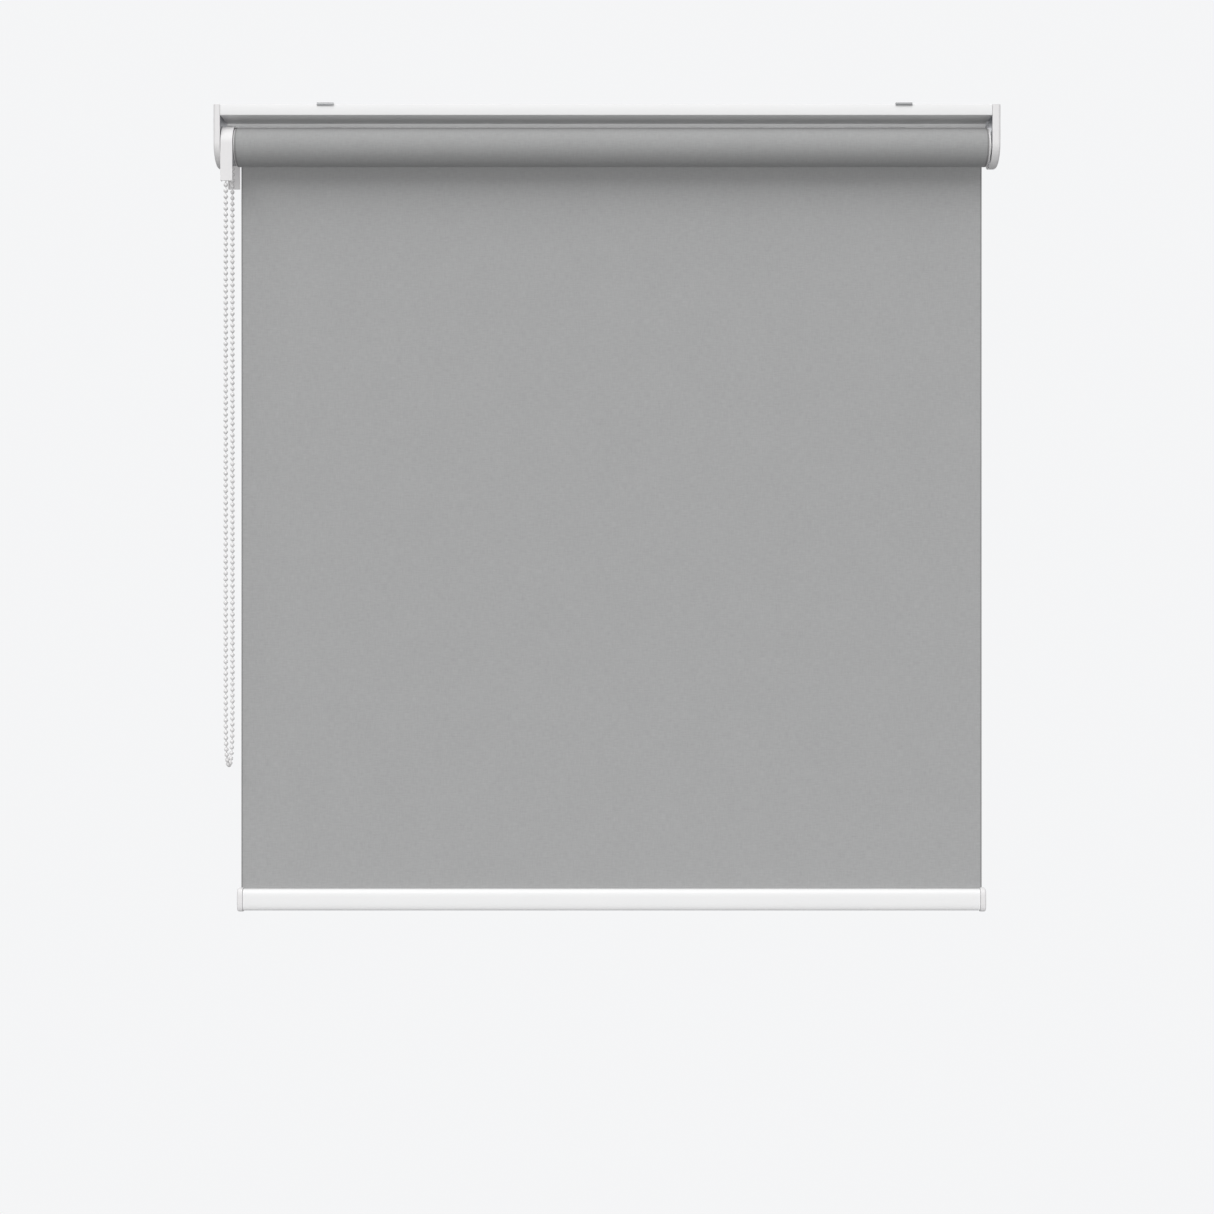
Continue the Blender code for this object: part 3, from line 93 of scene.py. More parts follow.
# Sizes that the frame's boxes don't give
RAIL_WALL = 0.0014
RAIL_ROUNDING = 0.0006
LIP_DROP = 0.0010
CREASE = 0.0003
GROOVE_FRONT, GROOVE_BACK, GROOVE_DEPTH = -0.005, 0.009, 0.0035
RIB_FRONT, RIB_DROP = 0.014, 0.0022
UNDER_SLOT = 0.009
SCREW_INSET, RAIL_SCREW_HOLE = 0.011, 0.0018
CLIP_SHEET, CLIP_HOOK, CLIP_TOE, CLIP_TAB = 0.0012, 0.0031, 0.0033, 0.0045
CLIP_HOLE = 0.00225
COVER_WALL, COVER_ROUNDING = 0.0016, 0.0030
BRACKET_RADIUS, BRACKET_FLARE_LOW = 0.022, 0.009
GUARD_RADIUS, GUARD_WALL, GUARD_DROP = 0.021, 0.0012, 0.0385
GUARD_CHEEK_DROP, GUARD_CHEEK_LEG, GUARD_CHEEK_CORNER = 0.024, 0.0028, 0.002
SPIGOT_HOLE = 0.0076
PITCH_RADIUS, BEAD_DIAMETER = 0.0172, 0.0045
WHEEL_POCKETS = 18
FLANGE_RADIUS = 0.0190
TUBE_WALL, KEYWAY_WIDTH, KEYWAY_DEPTH = 0.0012, 0.0040, 0.0018
FINGER_INNER, CHAMBER_RADIUS, RIB_SPAN = 0.0077, 0.0095, 40
WHEEL_SOCKET_RADIUS, HUB_BORE = 0.0113, 0.0058
WHEEL_SOCKET_INSET, SLEEVE_END_WALL = 0.034, 0.008
PIN_BORE, BUSH_BORE, BUSH_BORE_DEPTH, PLUG_END_WALL = 0.0033, 0.0053, 0.0059, 0.003
COVER_SCREW_PLACES, COVER_SCREW_RISE = (-0.014, 0.017), 0.0245
BOSS_BORE, BOSS_WALL = 0.0017, 0.0012
CLOTH_TURNS = 4
CURL_WIDTH = 0.006
LONG_WAVE, LONG_FADE, SHORT_WAVE, SHORT_SLANT = 0.37, 0.9, 0.143, 1.7  # in the cloth
# A darker band along each side edge of the cloth: its width and the factor on its colour.
EDGE_BAND_WIDTH, EDGE_BAND_FACTOR = 0.0014, 0.74
BAR_SLOT, SPLINE_RISE, SPLINE_CHAMBER, BAR_WALL = 0.0022, 0.0065, 0.0024, 0.0013
BAR_HOLLOW_TOP, BAR_FLATNESS = 0.0024, 3.6
CAP_SLIT, CAP_SLIT_REACH = 0.0011, 0.0028
CAP_ROUNDING, CAP_TONGUE = 0.0020, 0.014
GAP = 0.0003  # between pieces that touch
CUT = 0.001  # a cutter reaches this far past the face it opens
LAP = 0.0005  # joined shapes run this far into each other
CHAMFER = 0.0005

# The free chain's front strand, as (y, z below the roll's axis); the rear strand mirrors it
CHAIN_STRAND = [
    (-0.0172, 0.0368), (-0.0172, 0.050), (-0.0172, 0.085), (-0.0173, 0.135),
    (-0.0174, 0.195), (-0.0175, 0.260), (-0.0175, 0.330), (-0.0175, 0.400),
    (-0.0175, 0.465), (-0.0174, 0.525), (-0.0173, 0.570), (-0.0168, 0.597),
    (-0.0150, 0.613), (-0.0110, 0.6255), (-0.0058, 0.6322),
]
CHAIN_ROUTE = [*CHAIN_STRAND, (0.0, 0.6340), *((-y, z) for y, z in reversed(CHAIN_STRAND))]


# --- Values a user would change ---


def length(name, default, description):
    return FloatProperty(
        name=name, description=description, default=default, min=0.0, unit="LENGTH",
        precision=5,
    )


def number(name, default, description):
    return FloatProperty(name=name, description=description, default=default, min=0.0)


def angle(name, degrees, description):
    return FloatProperty(
        name=name, description=description, default=math.radians(degrees), subtype="ANGLE"
    )


def colour(name, default, description):
    return FloatVectorProperty(
        name=name, description=description, default=default, size=3, min=0.0, max=1.0,
        subtype="COLOR",
    )


class RollerBlindSizes(bpy.types.PropertyGroup):
    cloth_thickness: length("Cloth thickness", 0.0005, "Thickness of the coated cloth")
    cloth_ripple: length("Cloth ripple", 0.00025, "How far the hanging cloth waves")
    edge_curl: length("Edge curl", 0.0004, "How far the cloth's side edges bend back")
    weave_pitch: length("Weave pitch", 0.0007, "From one thread of the cloth to the next")
    bead_diameter: length("Bead diameter", BEAD_DIAMETER, "Diameter of the chain's beads")
    bead_pitch: length("Bead pitch", 0.0060, "From one bead of the chain to the next")
    chain_cord: length("Chain cord", 0.0013, "Diameter of the cord through the beads")
    edge_softness: length("Edge softness", 0.00018, "Rounding of small moulded edges")
    round_steps: IntProperty(
        name="Round steps", description="Steps around a turned piece", default=96, min=24
    )


class RollerBlindColours(bpy.types.PropertyGroup):
    cloth: colour("Cloth", (0.368, 0.369, 0.370), "Mean colour of the cloth's room side")
    # The roll shows the cloth's back side; this tint is also darker than the room side to paint
    # shade on the roll.
    cloth_back_with_painted_shade: colour("Cloth back", (0.345, 0.346, 0.346), "The side that shows on the roll")
    coating: colour("Coating", (0.83, 0.83, 0.83), "Powder coating on rail and bottom bar")
    moulding: colour("Moulding", (0.765, 0.755, 0.757), "White brackets, guard and caps")
    working_plastic: colour("Working plastic", (0.42, 0.42, 0.43), "Wheel, hub and sleeve")
    chain: colour("Chain", (0.80, 0.79, 0.79), "Beads of the chain")
    tube: colour("Tube", (0.72, 0.73, 0.74), "Mill finish of the roller tube")
    spring: colour("Spring steel", (0.36, 0.365, 0.37), "Clips, pin and springs")
    zinc: colour("Zinc", (0.62, 0.63, 0.66), "Zinc plating on plates and screws")
    floor: colour("Floor", (0.75, 0.75, 0.76), "Floor under the blind")


class RollerBlindStage(bpy.types.PropertyGroup):
    camera_distance: length("Camera distance", 1.9497, "Camera to the roll's axis plane")
    camera_drop: length("Camera drop", 0.5122, "Camera below the ceiling plane")
    camera_lens: number("Lens", 56.3, "Focal length in millimetres on a 36 mm sensor")
    floor_drop: length("Floor drop", 2.4, "Floor below the ceiling plane")
    floor_radius: length("Floor radius", 1.3, "Radius of the round floor")
    backdrop: number("Backdrop", 0.925, "Brightness of the surroundings seen by the camera")
    sky_strength: number("Sky strength", 0.30, "Soft light from above and around")
    ground_strength: number("Ground strength", 0.31, "Soft light from below")
    key_strength: number("Key strength", 1.88, "Large light high in front")
    key_spread: angle("Key spread", 60, "Width of the large light, seen from the blind")
    key_rise: angle("Key rise", 47, "Height of the large light above the horizon")
    key_side: angle("Key side", 10, "How far the large light stands to the left")
    fill_strength: number("Fill strength", 1.0, "Light in front that throws no shadow")
    fill_spread: angle("Fill spread", 14, "Width of the shadowless light")
    fill_rise: angle("Fill rise", 12, "Height of the shadowless light above the horizon")
    back_strength: number("Back strength", 1.0, "Light behind the blind")
    back_rise: angle("Back rise", 20, "Height of the light behind the blind")


# --- Outlines ---


def arc(radius, start, end, steps, middle=(0.0, 0.0)):
    """Points along an arc from one angle to another in degrees, both ends included."""
    angles = [math.radians(start + (end - start) * i / steps) for i in range(steps + 1)]
    return [
        (middle[0] + radius * math.cos(a), middle[1] + radius * math.sin(a)) for a in angles
    ]


def flat_oval(half_depth, half_height, start, end, steps):
    """The bar's flattened ellipse, between two angles in degrees of the circle behind it."""
    power = 2 / BAR_FLATNESS
    return [
        (
            half_depth * math.copysign(abs(y) ** power, y),
            half_height * math.copysign(abs(z) ** power, z),
        )
        for y, z in arc(1.0, start, end, steps)
    ]


def flat_oval_angle(share):
    """Angle above the middle at which a flattened ellipse reaches a share of its height."""
    return math.degrees(math.asin(share ** (BAR_FLATNESS / 2)))


def rounded(corners, steps=4):
    """An outline of (y, z, radius) corners, each one rounded by its own radius."""
    outline = []
    count = len(corners)
    for i, (y, z, radius) in enumerate(corners):
        here = Vector((y, z))
        before = Vector(corners[i - 1][:2]) - here
        after = Vector(corners[(i + 1) % count][:2]) - here
        turn = before.angle(after)
        if radius <= 0.0 or abs(math.pi - turn) < 1e-4:
            outline.append((y, z))
            continue
        reach = radius / math.tan(turn / 2)
        middle = here + (before.normalized() + after.normalized()).normalized() * (
            radius / math.sin(turn / 2)
        )
        first = here + before.normalized() * reach - middle
        last = here + after.normalized() * reach - middle
        sweep = first.angle_signed(last)
        for step in range(steps + 1):
            point = first.copy()
            point.rotate(Matrix.Rotation(-sweep * step / steps, 2))
            outline.append(tuple(middle + point))
    return outline


def moved(outline, y, z):
    return [(a + y, b + z) for a, b in outline]


def span(a, b):
    return min(a, b), max(a, b)


# --- Shapes ---


def ring_of_edges(shape, outline, x):
    verts = [shape.verts.new((x, y, z)) for y, z in outline]
    return [shape.edges.new(pair) for pair in zip(verts, verts[1:] + verts[:1])]


def filled(outlines, x):
    """A flat face across X inside the first outline, with the others as holes."""
    shape = bmesh.new()
    edges = [edge for outline in outlines for edge in ring_of_edges(shape, outline, x)]
    bmesh.ops.triangle_fill(shape, use_beauty=True, use_dissolve=False, edges=edges)
    return shape


def drawn_out(outlines, x_low, x_high):
    """A solid whose section is a set of (y, z) outlines, drawn out along X."""
    shape = filled(outlines, x_low)
    grown = bmesh.ops.extrude_face_region(shape, geom=shape.faces[:])
    far = [item for item in grown["geom"] if isinstance(item, bmesh.types.BMVert)]
    bmesh.ops.translate(shape, verts=far, vec=(x_high - x_low, 0.0, 0.0))
    bmesh.ops.recalc_face_normals(shape, faces=shape.faces)
    return shape


def turned(profile, steps, closed=True, y=0.0, z=None):
    """A profile of (x, radius) points spun about a line along X."""
    z = AXIS_Z if z is None else z
    shape = bmesh.new()
    verts = [shape.verts.new((x, y, z + radius)) for x, radius in profile]
    edges = [shape.edges.new(pair) for pair in zip(verts, verts[1:])]
    if closed:
        edges.append(shape.edges.new((verts[-1], verts[0])))
    bmesh.ops.spin(
        shape, geom=verts + edges, cent=(0.0, y, z), axis=(1.0, 0.0, 0.0),
        angle=2 * math.pi, steps=steps, use_merge=True,
    )
    bmesh.ops.remove_doubles(shape, verts=shape.verts, dist=1e-6)
    bmesh.ops.recalc_face_normals(shape, faces=shape.faces)
    return shape


def block(low, high):
    shape = bmesh.new()
    bmesh.ops.create_cube(shape, size=1.0)
    bmesh.ops.scale(shape, vec=Vector(high) - Vector(low), verts=shape.verts)
    bmesh.ops.translate(shape, vec=(Vector(high) + Vector(low)) / 2, verts=shape.verts)
    return shape


def upright_peg(x, y, z_low, z_high, radius, steps=32):
    shape = bmesh.new()
    bmesh.ops.create_cone(
        shape, cap_ends=True, segments=steps, radius1=radius, radius2=radius,
        depth=z_high - z_low,
    )
    bmesh.ops.translate(shape, vec=(x, y, (z_low + z_high) / 2), verts=shape.verts)
    return shape


def moulded(outline, x_a, x_b):
    """An outline drawn out between two places along X, with its flat faces left whole."""
    shape = drawn_out([outline], *span(x_a, x_b))
    bmesh.ops.dissolve_limit(
        shape, angle_limit=math.radians(0.5), verts=shape.verts, edges=shape.edges
    )
    return shape


def at_x(parts, x):
    """The faces or edges that lie in a plane across X."""
    return [part for part in parts if all(abs(v.co.x - x) < 1e-6 for v in part.verts)]


def bevel(shape, edges, width, segments):
    bmesh.ops.bevel(
        shape, geom=edges, offset=width, segments=segments, profile=0.5, affect="EDGES",
        material=-1, clamp_overlap=True,
    )


def as_object(name, shape):
    """A bmesh as a new object at the origin."""
    mesh = bpy.data.meshes.new(name)
    shape.to_mesh(mesh)
    shape.free()
    piece = bpy.data.objects.new(name, mesh)
    bpy.context.scene.collection.objects.link(piece)
    return piece


def settle(piece):
    """Gives a piece its evaluated mesh, so that no modifier is left on it."""
    bpy.context.view_layer.update()
    graph = bpy.context.evaluated_depsgraph_get()
    mesh = bpy.data.meshes.new_from_object(
        piece.evaluated_get(graph), preserve_all_data_layers=True, depsgraph=graph
    )
    piece.modifiers.clear()
    piece.data = mesh
    mesh.name = piece.name


def modify(piece, kind, **settings):
    """Puts a modifier with its settings on a piece."""
    modifier = piece.modifiers.new(kind.lower(), kind)
    for name, value in settings.items():
        setattr(modifier, name, value)


def combine(piece, operation, tools):
    """Joins or cuts a piece with each tool, a bmesh."""
    helpers = []
    for index, tool in enumerate(tools):
        helper = as_object(f"{piece.name}_tool_{index}", tool)
        modify(piece, "BOOLEAN", operation=operation, solver="EXACT", object=helper)
        helpers.append(helper)
    settle(piece)
    for helper in helpers:
        bpy.data.objects.remove(helper)


def cut_away(piece, *tools):
    combine(piece, "DIFFERENCE", tools)


def join_on(piece, *tools):
    combine(piece, "UNION", tools)


def thicken(piece, wall):
    modify(piece, "SOLIDIFY", thickness=wall, offset=-1.0, use_even_offset=True)
    settle(piece)


def soften(piece, width):
    """Rounds every sharp edge by a small width and evens the shading of the flat faces."""
    if width > 0.0:
        modify(
            piece, "BEVEL", width=width, segments=3, limit_method="ANGLE",
            angle_limit=math.radians(50.0), use_clamp_overlap=True, miter_outer="MITER_ARC",
        )
    piece.data.shade_smooth()
    modify(piece, "WEIGHTED_NORMAL", keep_sharp=True)
    settle(piece)


def shade(piece, angle=40.0):
    piece.data.shade_smooth()
    piece.data.set_sharp_from_angle(angle=math.radians(angle))


def keep(piece, material, slot, body, *nodes):
    """Finishes a piece: its material, its body and what it stands for. The slot is not used."""
    piece.data.materials.clear()
    piece.data.materials.append(materials()[material])
    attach(piece, body)
    if nodes:
        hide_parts(*nodes)
    return piece


# --- Materials ---


class Finish:
    """One procedural material, built node by node."""

    def __init__(self, name, tint, roughness, metallic=0.0, specular=0.5):
        self.material = bpy.data.materials.new(name)
        self.material.use_nodes = True
        self.tree = self.material.node_tree
        self.shader = self.tree.nodes["Principled BSDF"]
        self.tint = tuple(tint)
        self.set("Roughness", roughness)
        self.set("Metallic", metallic)
        self.set("Specular IOR Level", specular)
        self.set("Base Color", (*tint, 1.0))
        self.place = self.node("TexCoord").outputs["Object"]

    def node(self, kind, values=(), **settings):
        """A new node with its own settings and the values of its sockets by name."""
        made = self.tree.nodes.new(f"ShaderNode{kind}")
        for name, value in settings.items():
            setattr(made, name, value)
        for name, value in dict(values).items():
            made.inputs[name].default_value = value
        return made

    def set(self, socket, value):
        self.shader.inputs[socket].default_value = value

    def link(self, source, target):
        self.tree.links.new(source, target)

    def feed(self, socket, source):
        self.link(source, self.shader.inputs[socket])

    def stretched(self, scale, source=None):
        """The place on the piece, stretched by a scale along each axis."""
        mapping = self.node("Mapping", {"Scale": scale})
        self.link(source or self.place, mapping.inputs["Vector"])
        return mapping.outputs["Vector"]

    def noise(self, scale, detail=2.0, roughness=0.5, source=None):
        made = self.node("TexNoise", {"Scale": scale, "Detail": detail, "Roughness": roughness})
        self.link(source or self.place, made.inputs["Vector"])
        return made.outputs["Fac"]

    def math(self, operation, first, second=None):
        made = self.node("Math", operation=operation)
        for socket, value in zip(made.inputs, (first, second)):
            if value is None:
                continue
            if isinstance(value, (int, float)):
                socket.default_value = value
            else:
                self.link(value, socket)
        return made.outputs[0]

    def blended(self, *terms):
        """The sum of sources or numbers, each times its own share."""
        total = 0.0
        for source, share in terms:
            total = self.math("ADD", self.math("MULTIPLY", source, share), total)
        return total

    def ranged(self, source, low, high, from_low=0.3, from_high=0.7):
        limits = {"From Min": from_low, "From Max": from_high, "To Min": low, "To Max": high}
        made = self.node("MapRange", limits)
        self.link(source, made.inputs["Value"])
        return made.outputs["Result"]

    def vary_colour(self, source, depth):
        """Multiplies the tint by 1 plus or minus a depth, as the source goes from 0 to 1."""
        mix = self.node("Mix", data_type="RGBA")
        self.link(source, mix.inputs["Factor"])
        mix.inputs["A"].default_value = (*[c * (1 - depth) for c in self.tint], 1.0)
        mix.inputs["B"].default_value = (*[min(1, c * (1 + depth)) for c in self.tint], 1.0)
        self.feed("Base Color", mix.outputs["Result"])
        return mix

    def bump(self, height, strength, distance):
        made = self.node("Bump", {"Strength": strength, "Distance": distance})
        self.link(height, made.inputs["Height"])
        self.feed("Normal", made.outputs["Normal"])


def coating_finish(tint):
    """Powder coating: a fine orange peel with an even satin gloss."""
    finish = Finish("white_coating", tint, 0.38)
    finish.vary_colour(finish.noise(14.0, 3.0), 0.012)
    finish.feed("Roughness", finish.ranged(finish.noise(90.0, 3.0), 0.34, 0.44))
    finish.bump(finish.noise(1400.0, 2.0), 0.12, 0.00005)
    return finish.material


def moulding_finish(name, tint, roughness):
    """Injection-moulded plastic: a fine spark-eroded grain and slight flow marks."""
    finish = Finish(name, tint, roughness)
    flow = finish.noise(55.0, 2.0, source=finish.stretched((1.0, 1.0, 0.35)))
    finish.vary_colour(flow, 0.018)
    finish.feed(
        "Roughness", finish.ranged(finish.noise(260.0, 3.0), roughness - 0.05, roughness + 0.07)
    )
    finish.bump(finish.noise(2600.0, 3.0, 0.6), 0.16, 0.00004)
    return finish.material


def drawn_metal_finish(name, tint, roughness, along):
    """Bright metal with fine lines along the direction it was drawn or rolled in."""
    finish = Finish(name, tint, roughness, metallic=1.0)
    fine = [2200.0, 2200.0, 2200.0]
    fine[along] = 14.0
    lines = finish.noise(1.0, 3.0, 0.7, finish.stretched(fine))
    finish.vary_colour(lines, 0.06)
    finish.feed("Roughness", finish.ranged(lines, roughness - 0.09, roughness + 0.10))
    finish.bump(lines, 0.15, 0.00002)
    return finish.material


def zinc_finish(tint):
    """Bright zinc plating: cloudy patches over a slightly grainy sheet."""
    finish = Finish("zinc_plating", tint, 0.36, metallic=1.0)
    clouds = finish.noise(120.0, 5.0, 0.65)
    finish.vary_colour(clouds, 0.09)
    finish.feed("Roughness", finish.ranged(clouds, 0.27, 0.46))
    finish.bump(finish.noise(3000.0, 2.0), 0.10, 0.00002)
    return finish.material


def chain_finish(tint):
    """Glossy acetal beads."""
    finish = Finish("chain_acetal", tint, 0.26, specular=0.55)
    finish.vary_colour(finish.noise(160.0, 2.0), 0.02)
    finish.bump(finish.noise(900.0, 2.0), 0.06, 0.00004)
    return finish.material


def cloth_finish(name, tint, pitch, width):
    """Plain weave with slubs in both directions, on a UV map in metres."""
    finish = Finish(name, tint, 0.86, specular=0.22)
    uv = finish.node("UVMap", uv_map="cloth").outputs["UV"]
    weft = finish.noise(1.0, 2.0, 0.6, finish.stretched((125.0, 900.0, 1.0), uv))
    warp = finish.noise(1.0, 2.0, 0.6, finish.stretched((900.0, 105.0, 1.0), uv))
    cloudy = finish.noise(22.0, 2.0, 0.5, uv)
    parts = finish.node("SeparateXYZ")
    finish.link(uv, parts.inputs["Vector"])
    waves = [
        finish.math("SINE", finish.math("MULTIPLY", parts.outputs[axis], 2 * math.pi / pitch))
        for axis in ("X", "Y")
    ]
    weave = finish.math("MULTIPLY", waves[0], waves[1])
    slubs = finish.blended((weft, 0.55), (warp, 0.45))
    tone = finish.blended((slubs, 1.0), (weave, 0.06), (cloudy, 0.10), (1.0, -0.05))
    mix = finish.vary_colour(finish.ranged(tone, 0.0, 1.0, 0.3, 0.7), 0.09)
    # The colour is darker in a narrow band along both side edges.
    edge = finish.math("ABSOLUTE", finish.math("SUBTRACT", parts.outputs["X"], width / 2))
    band = finish.ranged(
        edge, 1.0, EDGE_BAND_FACTOR, width / 2 - 1.4 * EDGE_BAND_WIDTH, width / 2 - EDGE_BAND_WIDTH
    )
    darker = finish.node("Mix", {"Factor": 1.0}, data_type="RGBA", blend_type="MULTIPLY")
    finish.link(mix.outputs["Result"], darker.inputs["A"])
    grey = finish.node("CombineColor")
    for socket in grey.inputs[:3]:
        finish.link(band, socket)
    finish.link(grey.outputs["Color"], darker.inputs["B"])
    finish.feed("Base Color", darker.outputs["Result"])
    finish.set("Sheen Weight", 0.15)
    finish.set("Sheen Roughness", 0.5)
    finish.bump(finish.blended((slubs, 1.0), (weave, 0.5)), 0.35, 0.00012)
    return finish.material


MATERIALS = {}


def materials():
    """Makes every material once and returns them by name."""
    if not MATERIALS:
        colours = bpy.context.scene.roller_blind_colours
        sizes = bpy.context.scene.roller_blind_sizes
        MATERIALS["coating"] = coating_finish(colours.coating)
        MATERIALS["moulding"] = moulding_finish("white_moulding", colours.moulding, 0.42)
        MATERIALS["working"] = moulding_finish("working_moulding", colours.working_plastic, 0.46)
        MATERIALS["chain"] = chain_finish(colours.chain)
        MATERIALS["tube"] = drawn_metal_finish("mill_aluminium", colours.tube, 0.34, 0)
        MATERIALS["spring"] = drawn_metal_finish("spring_steel", colours.spring, 0.33, 0)
        MATERIALS["zinc"] = zinc_finish(colours.zinc)
        width = DROP_HIGH.x - DROP_LOW.x
        for name in ("cloth", "cloth_back_with_painted_shade"):
            MATERIALS[name] = cloth_finish(
                f"dimout_{name}", getattr(colours, name), sizes.weave_pitch, width
            )
    return MATERIALS


# --- Bead chain ---


def smooth_route(route, steps=12):
    """Points on the smooth curve through a route's points, the same number in each stretch."""
    ends = [route[0], *route, route[-1]]
    points = []
    for before, here, there, after in zip(ends, ends[1:], ends[2:], ends[3:]):
        for step in range(steps):
            t = step / steps
            points.append(tuple(
                0.5 * (
                    2 * b + (c - a) * t + (2 * a - 5 * b + 4 * c - d) * t * t
                    + (3 * b - a - 3 * c + d) * t**3
                )
                for a, b, c, d in zip(before, here, there, after)
            ))
    return [*points, route[-1]]


def spaced(points, first, pitch, count):
    """Points along a line of points, from a first distance and then a pitch apart."""
    along = [0.0]
    for here, there in zip(points, points[1:]):
        along.append(along[-1] + math.dist(here, there))
    found, at = [], 0
    for i in range(count):
        wanted = first + pitch * i
        while at < len(points) - 2 and along[at + 1] < wanted:
            at += 1
        share = (wanted - along[at]) / (along[at + 1] - along[at])
        found.append(Vector(points[at]).lerp(Vector(points[at + 1]), share))
    return found


def line_length(points):
    return sum(math.dist(here, there) for here, there in zip(points, points[1:]))


def beads_and_cord(name, beads, line, bead_diameter, cord_diameter):
    """Round beads on a thin cord, as one mesh."""
    shape = bmesh.new()
    ball = bmesh.new()
    bmesh.ops.create_uvsphere(ball, u_segments=10, v_segments=8, radius=bead_diameter / 2)
    ball_mesh = bpy.data.meshes.new("bead")
    ball.to_mesh(ball_mesh)
    ball.free()
    for place in beads:
        first = len(shape.verts)
        shape.from_mesh(ball_mesh)
        shape.verts.ensure_lookup_table()
        bmesh.ops.translate(shape, verts=shape.verts[first:], vec=place)
    bpy.data.meshes.remove(ball_mesh)
    ring = None
    for i, place in enumerate(line):
        ahead = Vector(line[min(i + 1, len(line) - 1)]) - Vector(line[max(i - 1, 0)])
        side = Vector((1.0, 0.0, 0.0))
        across = ahead.normalized().cross(side)
        made = [
            shape.verts.new(
                Vector(place) + (side * math.cos(a) + across * math.sin(a)) * cord_diameter / 2
            )
            for a in (math.pi * k / 3 for k in range(6))
        ]
        if ring:
            for k in range(6):
                shape.faces.new((ring[k], ring[k - 1], made[k - 1], made[k]))
        else:
            shape.faces.new(made)
        ring = made
    shape.faces.new(reversed(ring))
    bmesh.ops.recalc_face_normals(shape, faces=shape.faces)
    piece = as_object(name, shape)
    piece.data.shade_smooth()
    return piece


class ROLLERBLIND_OT_bead_chain(bpy.types.Operator):
    """Hangs the endless bead chain and leads it over the wheel"""

    bl_idname = "roller_blind.bead_chain"
    bl_label = "Bead Chain"

    def execute(self, context):
        sizes = context.scene.roller_blind_sizes
        exit_drop = CHAIN_ROUTE[0][1]
        line = [(CHAIN_X, y, AXIS_Z - below) for y, below in smooth_route(CHAIN_ROUTE)]
        free = line_length(line)
        on_wheel = 2 * math.pi * PITCH_RADIUS / WHEEL_POCKETS
        straight_beads = int(exit_drop / on_wheel)
        spare = exit_drop - straight_beads * on_wheel
        count = round((free + 2 * spare) / sizes.bead_pitch)
        pitch = (free + 2 * spare) / count
        beads = spaced(line, pitch - spare, pitch, count - 1)
        hanging = beads_and_cord(
            "bead_chain_hanging", beads, line, sizes.bead_diameter, sizes.chain_cord
        )
        keep(hanging, "chain", "chain_plastic", ROOT, "bead_chain")
        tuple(line[0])

        drops = [on_wheel * i for i in range(1, straight_beads + 1)]
        places = [
            (-PITCH_RADIUS, -exit_drop),
            *((-PITCH_RADIUS, -drop) for drop in reversed(drops)),
            *arc(PITCH_RADIUS, 180, 0, WHEEL_POCKETS // 2),
            *((PITCH_RADIUS, -drop) for drop in drops),
            (PITCH_RADIUS, -exit_drop),
        ]
        line = [Vector((CHAIN_X, y, AXIS_Z + z)) for y, z in places]
        held = beads_and_cord(
            "bead_chain_on_wheel", line[1:-1], line, sizes.bead_diameter, sizes.chain_cord
        )
        keep(held, "chain", "chain_plastic", ROOT, "bead_chain_in_guard")
        return {"FINISHED"}


# --- Head rail ---


def rail_section():
    front, back, top, under = RAIL_LOW.y, RAIL_HIGH.y, RAIL_HIGH.z, RAIL_LOW.z + RIB_DROP
    wall, edge, small, lip = RAIL_WALL, RAIL_ROUNDING, CREASE, under - LIP_DROP
    floor = top - GROOVE_DEPTH
    slot_front = RIB_FRONT + wall
    slot_back = slot_front + UNDER_SLOT
    return rounded([
        (front, under, edge), (front, top, edge),
        (GROOVE_FRONT, top, small), (GROOVE_FRONT, floor, small),
        (GROOVE_BACK, floor, small), (GROOVE_BACK, top, small),
        (back, top, edge), (back, lip, edge),
        (slot_back, lip, small), (slot_back, lip + wall, small),
        (back - wall, lip + wall, small), (back - wall, top - wall, small),
        (GROOVE_BACK + wall, top - wall, small), (GROOVE_BACK + wall, floor - wall, small),
        (GROOVE_FRONT - wall, floor - wall, small), (GROOVE_FRONT - wall, top - wall, small),
        (front + wall, top - wall, small), (front + wall, under + wall, small),
        (slot_front, under + wall, small), (slot_front, under - RIB_DROP, small),
        (RIB_FRONT, under - RIB_DROP, small), (RIB_FRONT, under, 0.0),
    ])


class ROLLERBLIND_OT_head_rail(bpy.types.Operator):
    """Draws the coated aluminium head rail"""

    bl_idname = "roller_blind.head_rail"
    bl_label = "Head Rail"

    def execute(self, context):
        shape = drawn_out([rail_section()], RAIL_LOW.x, RAIL_HIGH.x)
        rail = as_object("rail_extrusion", shape)
        groove_middle = (GROOVE_FRONT + GROOVE_BACK) / 2
        floor = RAIL_HIGH.z - GROOVE_DEPTH
        pegs = [
            upright_peg(x, groove_middle, floor - RAIL_WALL - CUT, floor + CUT, RAIL_SCREW_HOLE)
            for x in (RAIL_LOW.x + SCREW_INSET, RAIL_HIGH.x - SCREW_INSET)
        ]
        cut_away(rail, *pegs)
        shade(rail)
        keep(rail, "coating", "white_metal", ROOT, "head_rail")
        return {"FINISHED"}


# --- Mounting clips ---


def clip_section():
    """The bent sheet's outline, seen from its side."""
    front, back = RAIL_LOW.y - GAP, RAIL_HIGH.y + GAP
    under = RAIL_LOW.z + RIB_DROP - LIP_DROP - GAP
    sheet, tip, inner, outer = CLIP_SHEET, 0.0004, 0.0003, 0.0011
    return rounded([
        (front - sheet, -CLIP_HOOK, tip), (front, -CLIP_HOOK, tip),
        (front, -sheet, inner), (back, -sheet, inner),
        (back, under, 0.0), (back - CLIP_TOE, under, tip),
        (back - CLIP_TOE, under - sheet, tip), (back + CLIP_TAB, under - sheet, tip),
        (back + CLIP_TAB, under, tip), (back + sheet, under, inner),
        (back + sheet, 0.0, outer), (front - sheet, 0.0, outer),
    ])


